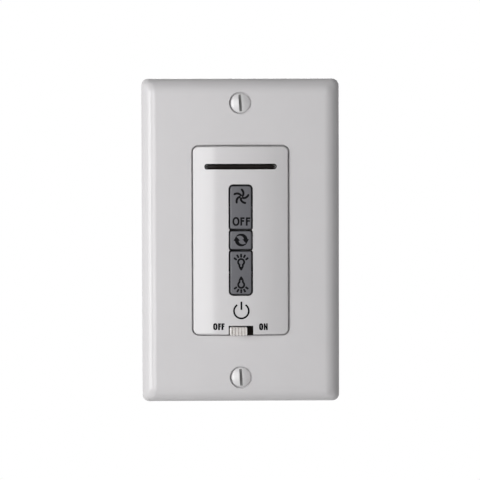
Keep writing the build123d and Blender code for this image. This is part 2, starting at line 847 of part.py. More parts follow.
with BuildPart() as slide_knob:
    with BuildSketch(front(knob_back)):
        with Locations((slide_rest, slide_z)):
            RectangleRounded(knob_width, knob_height, knob_corner_radius)
    extrude(amount=knob_front - knob_back)
    fillet(slide_knob.faces().sort_by(Axis.Y)[0].edges(), knob_edge_radius)
    with BuildSketch(front(knob_front)):
        with Locations((slide_rest, slide_z)):
            with GridLocations(groove_pitch, 0, groove_count, 1):
                Rectangle(groove_width, 2 * knob_height)
    extrude(amount=-groove_depth, mode=Mode.SUBTRACT)
    with BuildSketch(front(knob_back)):
        with Locations((slide_rest, slide_z)):
            Rectangle(stem_length + 2 * socket_clearance, stem_width + 2 * socket_clearance)
    extrude(amount=socket_depth, mode=Mode.SUBTRACT)
slide_knob.part.label = "slide_knob"
export_step(slide_knob.part, "parts/slide_knob.step")


# Parts on the back of the board, whose leads are trimmed flush with its front
def lead_places(place, pitch_x, pitch_z=0.0):
    """Places of two leads in a row, or of four in a rectangle, around a part's own place."""
    x, z = place
    rises = (z - pitch_z / 2, z + pitch_z / 2) if pitch_z else (z,)
    return [(x + side * pitch_x / 2, rise) for side in (-1, 1) for rise in rises]


film_leads = lead_places(film_place, film_lead_pitch)
electrolytic_leads = lead_places(electrolytic_place, electrolytic_lead_pitch)
resistor_leads = lead_places(resistor_place, resistor_length + 2 * axial_lead_run)
fuse_leads = lead_places(fuse_place, fuse_length + 2 * axial_lead_run)
rectifier_leads = lead_places(rectifier_place, rectifier_lead_pitch_x, rectifier_lead_pitch_z)
crystal_leads = lead_places(crystal_place, crystal_lead_pitch)
terminal_leads = lead_places((0, -exit_drop), exit_pitch)

with BuildPart() as film_capacitor:
    with BuildSketch(front(board_back)):
        with Locations(film_place):
            Rectangle(film_length, film_width)
    extrude(amount=-film_height)
    fillet(film_capacitor.faces().sort_by(Axis.Y)[-1].edges(), film_edge_radius)
    with BuildSketch(front(board_front)):
        with Locations(film_leads):
            Circle(lead_radius)
    extrude(amount=-board_thickness)
film_capacitor.part.label = "film_capacitor"
export_step(film_capacitor.part, "parts/film_capacitor.step")

with BuildPart() as electrolytic_capacitor:
    with BuildSketch(front(board_back)):
        with Locations(electrolytic_place):
            Circle(electrolytic_radius)
    extrude(amount=-electrolytic_height)
    fillet(electrolytic_capacitor.edges().group_by(Axis.Y)[-1], electrolytic_edge_radius)
    with BuildSketch(front(board_back - electrolytic_groove_rise)):
        with Locations(electrolytic_place):
            Circle(electrolytic_radius)
            Circle(electrolytic_radius - electrolytic_groove, mode=Mode.SUBTRACT)
    extrude(amount=-2 * electrolytic_groove, mode=Mode.SUBTRACT)
    with BuildSketch(front(board_front)):
        with Locations(electrolytic_leads):
            Circle(lead_radius)
    extrude(amount=-board_thickness)
electrolytic_capacitor.part.label = "electrolytic_capacitor"
export_step(electrolytic_capacitor.part, "parts/electrolytic_capacitor.step")


def axial_part(place, leads, radius, length, cap):
    """A round part that lies across the back of the board, with end caps and bent leads."""
    x, rise = place
    axis_height = board_back - radius - cap - axial_lift
    cap_starts = (x - length / 2, x + length / 2 - axial_cap_length)
    with BuildPart() as part:
        with BuildSketch(along.offset(x)):
            with Locations((rise, axis_height)):
                Circle(radius)
        extrude(amount=length / 2, both=True)
        for cap_start in cap_starts:
            with BuildSketch(along.offset(cap_start)):
                with Locations((rise, axis_height)):
                    Circle(radius + cap)
            extrude(amount=axial_cap_length)
        for lead_x, lead_rise in leads:
            with BuildLine(across.offset(-lead_rise)) as bent_lead:
                FilletPolyline(
                    (x, axis_height),
                    (lead_x, axis_height),
                    (lead_x, board_front),
                    radius=axial_lead_bend,
                )
            with BuildSketch(Plane(origin=bent_lead.line @ 0, z_dir=bent_lead.line % 0)):
                Circle(lead_radius)
            sweep()
    return part


dropper_resistor = axial_part(
    resistor_place, resistor_leads, resistor_radius, resistor_length, resistor_cap
)
dropper_resistor.part.label = "dropper_resistor"
export_step(dropper_resistor.part, "parts/dropper_resistor.step")

fuse = axial_part(fuse_place, fuse_leads, fuse_radius, fuse_length, fuse_cap)
fuse.part.label = "fuse"
export_step(fuse.part, "parts/fuse.step")

with BuildPart() as bridge_rectifier:
    with BuildSketch(front(board_back)):
        with Locations(rectifier_place):
            RectangleRounded(rectifier_length, rectifier_width, rectifier_edge_radius)
    extrude(amount=-rectifier_height)
    with BuildSketch(front(board_front)):
        with Locations(rectifier_leads):
            Circle(lead_radius)
    extrude(amount=-board_thickness)
bridge_rectifier.part.label = "bridge_rectifier"
export_step(bridge_rectifier.part, "parts/bridge_rectifier.step")

with BuildPart() as controller_chip:
    with BuildSketch(front(board_back - chip_lift)):
        with Locations(chip_place):
            Rectangle(chip_length, chip_width)
    extrude(amount=-chip_height)
    with BuildSketch(front(board_back)):
        with Locations(chip_place):
            with GridLocations(chip_leg_pitch, 0, chip_leg_count, 1):
                Rectangle(chip_leg_width, chip_width + 2 * chip_leg_reach)
    extrude(amount=-chip_leg_thickness)
controller_chip.part.label = "controller_chip"
export_step(controller_chip.part, "parts/controller_chip.step")

with BuildPart() as crystal_can:
    with BuildSketch(front(board_back)):
        with Locations(crystal_place):
            SlotOverall(crystal_length, crystal_width)
    extrude(amount=-crystal_rim_height)
    with BuildSketch(front(board_back - crystal_rim_height)):
        with Locations(crystal_place):
            SlotOverall(crystal_length - 2 * crystal_rim, crystal_width - 2 * crystal_rim)
    extrude(amount=crystal_rim_height - crystal_height)
    fillet(crystal_can.faces().sort_by(Axis.Y)[-1].edges(), crystal_edge_radius)
    with BuildSketch(front(board_front)):
        with Locations(crystal_leads):
            Circle(lead_radius)
    extrude(amount=-board_thickness)
crystal_can.part.label = "crystal_can"
export_step(crystal_can.part, "parts/crystal_can.step")

with BuildPart() as lead_terminals:
    with BuildSketch(front(board_back)):
        with Locations(terminal_leads):
            Rectangle(terminal_width, terminal_thickness)
    extrude(amount=-terminal_height)
    with BuildSketch(front(board_front)):
        with Locations(terminal_leads):
            Circle(lead_radius)
    extrude(amount=-board_thickness)
lead_terminals.part.label = "lead_terminals"
export_step(lead_terminals.part, "parts/lead_terminals.step")

# Circuit board, drilled for every lead and for the switch pins
drilled_leads = film_leads + electrolytic_leads + resistor_leads + fuse_leads
drilled_leads += rectifier_leads + crystal_leads + terminal_leads
with BuildPart() as circuit_board:
    with BuildSketch(front(board_front)):
        add(board_outline())
        with Locations(drilled_leads):
            Circle(lead_radius + lead_clearance, mode=Mode.SUBTRACT)
        with Locations((0, slide_z)):
            with GridLocations(pin_pitch, 0, pin_count, 1):
                Circle(pin_radius + pin_clearance, mode=Mode.SUBTRACT)
    extrude(amount=-board_thickness)
circuit_board.part.label = "circuit_board"
export_step(circuit_board.part, "parts/circuit_board.step")

with BuildPart() as insulator_sheet:
    with BuildSketch(front(board_front)):
        add(board_outline())
        add(bay_outline(), mode=Mode.SUBTRACT)
    extrude(amount=insulator_thickness)
insulator_sheet.part.label = "insulator_sheet"
export_step(insulator_sheet.part, "parts/insulator_sheet.step")

# Rear housing: an open box against the yoke, with deep screw bosses, shelves for the board and
# two collared exits for the supply leads
housing_floor = housing_back + housing_wall
shelf_inner = board_width / 2 - shelf_overlap
shelf_outer = housing_width / 2 - housing_wall / 2
with BuildPart() as rear_housing:
    with BuildSketch(front(yoke_setback)):
        RectangleRounded(housing_width, housing_height, housing_corner_radius)
    extrude(amount=-housing_depth)
    fillet(rear_housing.faces().sort_by(Axis.Y)[-1].edges(), housing_back_radius)
    with BuildSketch(front(yoke_setback)):
        RectangleRounded(
            housing_width - 2 * housing_wall,
            housing_height - 2 * housing_wall,
            housing_corner_radius - housing_wall,
        )
    extrude(amount=housing_floor - yoke_setback, mode=Mode.SUBTRACT)
    with BuildSketch(front(yoke_setback)):
        with GridLocations(2 * post_x, 2 * post_z, 2, 2):
            Circle(boss_radius)
    extrude(amount=housing_floor - yoke_setback)
    with BuildSketch(front(board_back)):
        with GridLocations(shelf_inner + shelf_outer, 2 * shelf_rise, 2, 2):
            Rectangle(shelf_outer - shelf_inner, shelf_thickness)
    extrude(amount=housing_floor - board_back)
    with BuildSketch(front(housing_back)):
        with Locations(terminal_leads):
            Circle(exit_radius + exit_collar_wall)
    extrude(amount=-exit_collar)
    with BuildSketch(front(housing_floor)):
        with Locations(terminal_leads):
            Circle(exit_radius)
    extrude(amount=-housing_wall - exit_collar, mode=Mode.SUBTRACT)
    with BuildSketch(front(yoke_setback)):
        with GridLocations(2 * post_x, 2 * post_z, 2, 2):
            Circle(housing_screw_radius + housing_screw_clearance)
    extrude(amount=-boss_floor, mode=Mode.SUBTRACT)
    with BuildSketch(front(boss_seat)):
        with GridLocations(2 * post_x, 2 * post_z, 2, 2):
            Circle(housing_screw_head_radius + housing_screw_head_clearance)
    extrude(amount=housing_back - boss_seat, mode=Mode.SUBTRACT)
rear_housing.part.label = "rear_housing"
export_step(rear_housing.part, "parts/rear_housing.step")

with BuildPart() as housing_screws:
    with BuildSketch(front(boss_seat)):
        with GridLocations(2 * post_x, 2 * post_z, 2, 2):
            Circle(housing_screw_head_radius)
    extrude(amount=-housing_screw_head_height)
    fillet(housing_screws.edges().group_by(Axis.Y)[-1], housing_screw_edge_radius)
    with BuildSketch(front(boss_seat - housing_screw_head_height)):
        with GridLocations(2 * post_x, 2 * post_z, 2, 2):
            Rectangle(housing_screw_recess_length, housing_screw_recess_width)
            Rectangle(housing_screw_recess_width, housing_screw_recess_length)
    extrude(amount=housing_screw_recess_depth, mode=Mode.SUBTRACT)
    with BuildSketch(front(boss_seat)):
        with GridLocations(2 * post_x, 2 * post_z, 2, 2):
            Circle(housing_screw_radius)
    extrude(amount=housing_screw_length)
housing_screws.part.label = "housing_screws"
export_step(housing_screws.part, "parts/housing_screws.step")
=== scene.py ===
"""Looks of the fan wall switch: finishes, printed signs, threaded screws and a plain studio."""

import logging
import math
from dataclasses import dataclass
from enum import Enum
from typing import ClassVar, Iterable

import bmesh
import bpy
from bmesh.types import BMEdge, BMesh, BMVert
from bpy.types import Material, Node, NodeSocket, NodeTree, Object, Scene
from mathutils import Matrix, Vector
from mathutils.bvhtree import BVHTree

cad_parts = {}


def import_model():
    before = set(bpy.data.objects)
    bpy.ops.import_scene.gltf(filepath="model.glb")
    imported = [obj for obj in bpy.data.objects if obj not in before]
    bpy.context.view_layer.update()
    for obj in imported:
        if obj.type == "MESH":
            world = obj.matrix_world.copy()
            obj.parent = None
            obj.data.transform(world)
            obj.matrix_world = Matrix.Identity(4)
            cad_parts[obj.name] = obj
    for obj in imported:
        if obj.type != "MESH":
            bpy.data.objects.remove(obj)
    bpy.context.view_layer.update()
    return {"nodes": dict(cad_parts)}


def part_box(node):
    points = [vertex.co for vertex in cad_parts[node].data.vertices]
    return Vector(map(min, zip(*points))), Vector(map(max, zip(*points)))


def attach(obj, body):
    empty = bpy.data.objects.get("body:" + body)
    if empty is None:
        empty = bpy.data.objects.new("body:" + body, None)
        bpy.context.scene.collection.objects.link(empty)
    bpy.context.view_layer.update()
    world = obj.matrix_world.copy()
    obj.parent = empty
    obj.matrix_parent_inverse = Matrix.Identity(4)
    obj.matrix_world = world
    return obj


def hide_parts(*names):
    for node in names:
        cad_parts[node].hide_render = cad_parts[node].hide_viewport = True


LOG = logging.getLogger("fan_wall_switch")
MM = 0.001
SHARP_ANGLE = math.radians(32.0)
TO_ROOM = Vector((0.0, -1.0, 0.0))
WHITE = (1.0, 1.0, 1.0, 1.0)
# Points closer than this are merged in a drawing or a thread, in millimetres.
WELD = 1e-4
# Points closer than this are merged where a plane or a saw has cut, in millimetres.
FINE_WELD = 1e-5

Colour = tuple[float, float, float]
Point = tuple[float, float]
Profile = tuple[Point, ...]
Nodes = dict[str, Object]
Inputs = dict[str | int, object]


class Grain(Enum):
    """The way the fine marks of a finish run, as the stretch of the pattern along X, Y and Z."""

    EVEN = (1.0, 1.0, 1.0)
    ALONG_X = (0.04, 1.0, 1.0)
    ALONG_Z = (1.0, 1.0, 0.04)


class Axis(Enum):
    """A frame axis, as its place in a vector."""

    X = 0
    Y = 1
    Z = 2


class LampWay(Enum):
    """Which way a lamp sign shines: raised light upwards, lowered light downwards."""

    UP = 1.0
    DOWN = -1.0


class Wiring:
    """A node tree with short ways to add nodes and to fill their inputs."""

    def __init__(self, tree: NodeTree) -> None:
        """Takes the node tree."""
        self.tree = tree

    def add(self, kind: str, inputs: Inputs) -> Node:
        """Adds a node.

        Args:
            kind: Kind of the node.
            inputs: The value of each input, or the socket that feeds it.

        Returns:
            The new node.
        """
        node = self.tree.nodes.new(kind)
        self.fill(node, inputs)
        return node

    def fill(self, node: Node, inputs: Inputs) -> None:
        """Fills a node's inputs.

        Args:
            node: The node.
            inputs: The value of each input, or the socket that feeds it.
        """
        for name, value in inputs.items():
            if isinstance(value, NodeSocket):
                self.tree.links.new(value, node.inputs[name])
            else:
                node.inputs[name].default_value = value

    def mix(self, blend: str, inputs: Inputs) -> NodeSocket:
        """Adds a mix of two colours.

        Args:
            blend: How the colours are blended.
            inputs: The factor and the colours A and B.

        Returns:
            The socket that gives the mixed colour.
        """
        node = self.tree.nodes.new("ShaderNodeMix")
        node.data_type = "RGBA"
        node.blend_type = blend
        self.fill(node, inputs)
        return node.outputs["Result"]

    def calculate(self, operation: str, inputs: Inputs) -> NodeSocket:
        """Adds a calculation.

        Args:
            operation: What is done with the numbers.
            inputs: The numbers, or the sockets that give them, by their place in the row.

        Returns:
            The socket that gives the result.
        """
        node = self.add("ShaderNodeMath", inputs)
        node.operation = operation
        return node.outputs["Value"]

    def place(self) -> NodeSocket:
        """Gives the place on the piece, in Object coordinates."""
        return self.tree.nodes.new("ShaderNodeTexCoord").outputs["Object"]

    def along(self, axis: Axis) -> NodeSocket:
        """Gives the place on the piece along one axis."""
        return self.add("ShaderNodeSeparateXYZ", {"Vector": self.place()}).outputs[axis.value]

    def plain_rays(self) -> NodeSocket:
        """Adds a switch that is 1 for rays from the camera, from gloss and through glass.

        Returns:
            The socket that gives 0 or 1.
        """
        path = self.tree.nodes.new("ShaderNodeLightPath")
        socket = path.outputs["Is Camera Ray"]
        for name in ("Is Glossy Ray", "Is Transmission Ray"):
            socket = self.calculate("MAXIMUM", {0: socket, 1: path.outputs[name]})
        return socket


def paint(colour: Colour, share: float = 1.0) -> tuple[float, float, float, float]:
    """Gives a colour made darker or lighter by a share, with full alpha."""
    return (colour[0] * share, colour[1] * share, colour[2] * share, 1.0)


@dataclass(frozen=True)
class Finish:
    """A moulded, plated or painted surface with fine grain, slow tone drift and uneven gloss.

    Colours are linear and sizes in metres. The tone swings by a share of the colour, and the gloss by an
    amount of roughness, as the noise goes from its low to its high value.
    """

    name: str
    colour: Colour
    roughness: float
    metallic: float = 0.0
    specular: float = 0.5
    coat: float = 0.0
    transmission: float = 0.0
    grain: Grain = Grain.EVEN
    grain_size: float = 0.22 * MM
    grain_depth: float = 0.0015 * MM
    tone_size: float = 14.0 * MM
    tone_swing: float = 0.02
    gloss_swing: float = 0.04
    grain_detail: ClassVar[float] = 2.0
    tone_detail: ClassVar[float] = 3.0
    noise_low: ClassVar[float] = 0.3
    noise_high: ClassVar[float] = 0.7
    least_roughness: ClassVar[float] = 0.02
    coat_roughness: ClassVar[float] = 0.08
    refraction: ClassVar[float] = 1.49

    def material(self) -> Material:
        """Makes the material, or finds the one made before.

        Returns:
            The node material of this finish.
        """
        found = bpy.data.materials.get(self.name)
        if found is not None:
            return found
        made = bpy.data.materials.new(self.name)
        made.use_nodes = True
        wiring = Wiring(made.node_tree)
        tone = self._noise(wiring, self.tone_size, Grain.EVEN, self.tone_detail)
        grain = self._noise(wiring, self.grain_size, self.grain, self.grain_detail).outputs["Fac"]
        gloss = wiring.add("ShaderNodeMapRange", {
            "Value": grain,
            "From Min": self.noise_low,
            "From Max": self.noise_high,
            "To Min": max(self.least_roughness, self.roughness - self.gloss_swing),
            "To Max": self.roughness + self.gloss_swing,
        })
        bump = wiring.add("ShaderNodeBump", {
            "Strength": 1.0, "Distance": self.grain_depth, "Height": grain,
        })
        wiring.fill(made.node_tree.nodes["Principled BSDF"], {
            "Base Color": self._colour(wiring, tone),
            "Metallic": self.metallic,
            "Roughness": gloss.outputs["Result"],
            "IOR": self.refraction,
            "Normal": bump.outputs["Normal"],
            "Specular IOR Level": self._shine(wiring),
            "Transmission Weight": self.transmission,
            "Coat Weight": self.coat,
            "Coat Roughness": self.coat_roughness,
        })
        return made

    def _noise(self, wiring: Wiring, size: float, grain: Grain, detail: float) -> Node:
        """Adds a noise pattern on Object coordinates.

        Args:
            wiring: The material's nodes.
            size: Size of the pattern in metres.
            grain: Direction in which the pattern is stretched.
            detail: Octaves of the noise.

        Returns:
            The noise node.
        """
        scale = [stretch / size for stretch in grain.value]
        mapping = wiring.add("ShaderNodeMapping", {"Vector": wiring.place(), "Scale": scale})
        place = mapping.outputs["Vector"]
        return wiring.add("ShaderNodeTexNoise", {"Vector": place, "Scale": 1.0, "Detail": detail})

    def _colour(self, wiring: Wiring, tone: Node) -> NodeSocket:
        """Adds the colour, which drifts between a darker and a lighter tone.

        Args:
            wiring: The material's nodes.
            tone: The slow noise that drives the drift.

        Returns:
            The socket that gives the colour.
        """
        ramp = wiring.add("ShaderNodeValToRGB", {"Fac": tone.outputs["Fac"]})
        low, high = ramp.color_ramp.elements
        low.position = self.noise_low
        low.color = paint(self.colour, 1.0 - self.tone_swing)
        high.position = self.noise_high
        high.color = paint(self.colour, 1.0 + self.tone_swing)
        return ramp.outputs["Color"]

    def _shine(self, wiring: Wiring) -> float | NodeSocket:
        """Gives the specular level, the same all over; a finish with polished places has its own."""
        return self.specular


@dataclass(frozen=True)
class Band:
    """One painted band: where it starts along the piece, from 0 to 1, and its colour."""

    start: float
    colour: Colour


@dataclass(frozen=True)
class BandedFinish(Finish):
    """A finish with painted bands along an axis, from the piece's low end to its high end in metres."""

    axis: Axis = Axis.Z
    low: float = 0.0
    high: float = 1.0
    bands: tuple[Band, ...] = ()

    def _colour(self, wiring: Wiring, tone: Node) -> NodeSocket:
        """Adds the bands, and lets the slow noise tint them.

        Args:
            wiring: The material's nodes.
            tone: The slow noise that tints the bands.

        Returns:
            The socket that gives the colour.
        """
        along = wiring.add("ShaderNodeMapRange", {
            "Value": wiring.along(self.axis), "From Min": self.low, "From Max": self.high,
        })
        ramp = wiring.add("ShaderNodeValToRGB", {"Fac": along.outputs["Result"]})
        ramp.color_ramp.interpolation = "CONSTANT"
        stops = ramp.color_ramp.elements
        stops.remove(stops[1])
        for number, band in enumerate(self.bands):
            stop = stops[0] if number == 0 else stops.new(band.start)
            stop.position = band.start
            stop.color = paint(band.colour)
        return wiring.mix("MULTIPLY", {
            "Factor": self.tone_swing, "A": ramp.outputs["Color"], "B": tone.outputs["Color"],
        })


@dataclass(frozen=True)
class PaintedShadeFinish(Finish):
    """A painted surface that turns to a darker colour, painted shade, where the mesh's own attribute is 1."""

    # The darker colour stands in for the shade in a recess: painted shade.
    shade_colour: Colour = (0.1, 0.1, 0.1)
    attribute: ClassVar[str] = "painted_shade"

    def _colour(self, wiring: Wiring, tone: Node) -> NodeSocket:
        """Adds the paint's colour and mixes in the painted shade colour where the attribute is 1.

        Args:
            wiring: The material's nodes.
            tone: The slow noise that drives the drift.

        Returns:
            The socket that gives the colour.
        """
        painted_shade = wiring.add("ShaderNodeAttribute", {})
        painted_shade.attribute_name = self.attribute
        coloured = super()._colour(wiring, tone)
        return wiring.mix("MIX", {
            "Factor": painted_shade.outputs["Fac"], "A": coloured, "B": paint(self.shade_colour),
        })


@dataclass(frozen=True)
class EndPolishedFinish(Finish):
    """A dull-faced bar with polished ends.

    The polish starts, and is full, at two distances from the bar's middle along X, in metres.
    """

    polish_start: float = 0.0
    polish_full: float = 1.0
    polish_specular: float = 1.0

    def _shine(self, wiring: Wiring) -> float | NodeSocket:
        """Gives a specular level that rises towards both ends of the bar.

        Args:
            wiring: The material's nodes.

        Returns:
            The socket that gives the specular level.
        """
        shine = wiring.add("ShaderNodeMapRange", {
            "Value": wiring.calculate("ABSOLUTE", {0: wiring.along(Axis.X)}),
            "From Min": self.polish_start,
            "From Max": self.polish_full,
            "To Min": self.specular,
            "To Max": self.polish_specular,
        })
        return shine.outputs["Result"]


Finishes = dict[str, Finish]

# Each finish has its name, its colour and its roughness, and then what sets it apart.
WHITE_PLATE = Finish(
    "plate_white_moulding", (0.725, 0.71, 0.72), 0.15, specular=0.38, grain_depth=0.0008 * MM,
    tone_swing=0.012, gloss_swing=0.03,
)
WHITE_COVER = Finish(
    "cover_white_moulding", (0.715, 0.70, 0.71), 0.13, grain_depth=0.0004 * MM, tone_swing=0.01,
    gloss_swing=0.02,
)
WHITE_KNOB = Finish("knob_white_moulding", (0.93, 0.895, 0.87), 0.3, tone_swing=0.012)
# White enamel of the plate screws; the slot faces get painted shade, a darker grey colour.
WHITE_ENAMEL = PaintedShadeFinish(
    "screw_white_enamel", (0.75, 0.74, 0.745), 0.28, coat=0.25, tone_swing=0.015,
    shade_colour=(0.31, 0.308, 0.305),
)
KEY_GREY = Finish(
    "key_grey_moulding", (0.065, 0.065, 0.077), 0.4, specular=0.9, grain_depth=0.003 * MM, tone_swing=0.03,
)
PRINT_BLACK = Finish("sign_black_print", (0.006, 0.006, 0.007), 0.8, specular=0.08, tone_swing=0.1)
SMOKED_LENS = EndPolishedFinish(
    "lens_smoked_acrylic", (0.013, 0.0105, 0.0095), 0.09, specular=0.06, tone_size=4.0 * MM, tone_swing=0.4,
    polish_start=12.1 * MM, polish_full=12.4 * MM, polish_specular=0.4,
)
LENS_RIM = EndPolishedFinish(
    "lens_polished_rim", (0.01, 0.008, 0.007), 0.08, specular=0.06, tone_size=4.0 * MM, tone_swing=0.4,
    polish_start=11.4 * MM, polish_full=11.7 * MM, polish_specular=1.4,
)
LAMP_EPOXY = Finish("lamp_clear_epoxy", (0.75, 0.72, 0.6), 0.12, transmission=0.5, tone_swing=0.05)
ZINC_YOKE = Finish(
    "yoke_zinc_plating", (0.6, 0.61, 0.62), 0.36, metallic=1.0, grain=Grain.ALONG_Z, grain_size=0.12 * MM,
    grain_depth=0.002 * MM, tone_size=6.0 * MM, tone_swing=0.09, gloss_swing=0.09,
)
ZINC_SCREW = Finish(
    "screw_zinc_plating", (0.62, 0.62, 0.6), 0.3, metallic=1.0, grain_size=0.15 * MM, tone_size=2.5 * MM,
    tone_swing=0.1, gloss_swing=0.08,
)
FIBRE = Finish(
    "vulcanised_fibre", (0.28, 0.2, 0.13), 0.7, grain_size=0.3 * MM, grain_depth=0.01 * MM,
    tone_size=3.0 * MM, tone_swing=0.16,
)
SILICONE = Finish("keypad_silicone", (0.3, 0.3, 0.3), 0.55, grain_depth=0.004 * MM, tone_swing=0.05)
CARBON = Finish("pill_carbon_rubber", (0.03, 0.03, 0.03), 0.75, grain_depth=0.006 * MM, tone_swing=0.2)
TIN_CAN = Finish(
    "can_tin_plating", (0.68, 0.69, 0.7), 0.24, metallic=1.0, grain=Grain.ALONG_X, grain_size=0.08 * MM,
    tone_size=3.0 * MM, tone_swing=0.07, gloss_swing=0.08,
)
BLACKENED_CAN = Finish(
    "can_blackened_steel", (0.03, 0.022, 0.02), 0.5, specular=0.1, grain=Grain.ALONG_X,
    grain_size=0.08 * MM, tone_size=3.0 * MM, tone_swing=0.15, gloss_swing=0.08,
)
MATT_BLACK = Finish("inner_black_moulding", (0.03, 0.03, 0.03), 0.5, grain_depth=0.004 * MM, tone_swing=0.1)
TINNED_PIN = Finish(
    "pin_tin_plating", (0.7, 0.68, 0.62), 0.3, metallic=1.0, tone_size=1.5 * MM, tone_swing=0.08,
)
BRIGHT_BRASS = Finish(
    "contact_bright_brass", (0.75, 0.6, 0.35), 0.22, metallic=1.0, tone_size=1.5 * MM, tone_swing=0.08,
)
FILM_YELLOW = Finish("capacitor_yellow_box", (0.72, 0.5, 0.08), 0.32, tone_swing=0.04)
FUSE_CERAMIC = Finish("fuse_ceramic_tube", (0.55, 0.5, 0.38), 0.5, tone_size=2.0 * MM, tone_swing=0.06)
BOARD_MASK = Finish(
    "board_solder_mask", (0.05, 0.22, 0.1), 0.35, coat=0.2, grain_size=0.5 * MM, grain_depth=0.006 * MM,
    tone_size=2.2 * MM, tone_swing=0.16,
)
HOUSING_BLACK = Finish(
    "housing_black_moulding", (0.035, 0.035, 0.038), 0.46, grain_size=0.35 * MM, grain_depth=0.012 * MM,
    tone_swing=0.12, gloss_swing=0.08,
)


def make_piece(name: str, mesh: BMesh, finish: Finish, body: str) -> Object:
    """Turns a bmesh into a finished piece that rides on a body.

    Args:
        name: Name of the piece.
        mesh: The bmesh, in metres in the part's frame; it is freed.
        finish: The finish of the piece.
        body: The body it rides on.

    Returns:
        The new object.
    """
    data = bpy.data.meshes.new(name)
    mesh.to_mesh(data)
    mesh.free()
    data.shade_smooth()
    data.set_sharp_from_angle(angle=SHARP_ANGLE)
    data.materials.append(finish.material())
    piece = bpy.data.objects.new(name, data)
    bpy.context.scene.collection.objects.link(piece)
    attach(piece, body)
    LOG.info("built %s with %d faces on %s", name, len(data.polygons), body)
    return piece


def join(whole: BMesh, part: BMesh) -> None:
    """Adds one bmesh to another.

    Args:
        whole: The bmesh that grows.
        part: The bmesh that is added; it is freed.
    """
    data = bpy.data.meshes.new("joining")
    part.to_mesh(data)
    part.free()
    whole.from_mesh(data)
    bpy.data.meshes.remove(data)


def cut_away(solid: BMesh, cutter: BMesh) -> BMesh:
    """Cuts one closed shape away from another.

    Args:
        solid: The shape that is cut; it is freed.
        cutter: The shape that cuts; it is freed.

    Returns:
        What is left of the solid.
    """
    objects = []
    for shape in (solid, cutter):
        data = bpy.data.meshes.new("cutting")
        shape.to_mesh(data)
        shape.free()
        objects.append(bpy.data.objects.new("cutting", data))
        bpy.context.scene.collection.objects.link(objects[-1])
    cut = objects[0].modifiers.new("cut", "BOOLEAN")
    cut.operation = "DIFFERENCE"
    cut.solver = "EXACT"
    cut.object = objects[1]
    left = bmesh.new()
    left.from_object(objects[0], bpy.context.evaluated_depsgraph_get())
    for item in objects:
        data = item.data
        bpy.data.objects.remove(item)
        bpy.data.meshes.remove(data)
    bmesh.ops.remove_doubles(left, verts=left.verts, dist=FINE_WELD)
    return left


class CarrierFace:
    """The front of a CAD node, on which marks are laid, seen from a lookout on Y in metres."""

    lookout: ClassVar[float] = -0.05

    def __init__(self, node: Object) -> None:
        """Takes the CAD node."""
        self.tree = BVHTree.FromObject(node, bpy.context.evaluated_depsgraph_get())

    def front(self, x: float, z: float) -> Vector:
        """Finds the node's foremost place at X and Z, all in metres."""
        return self.tree.ray_cast(Vector((x, self.lookout, z)), -TO_ROOM)[0]


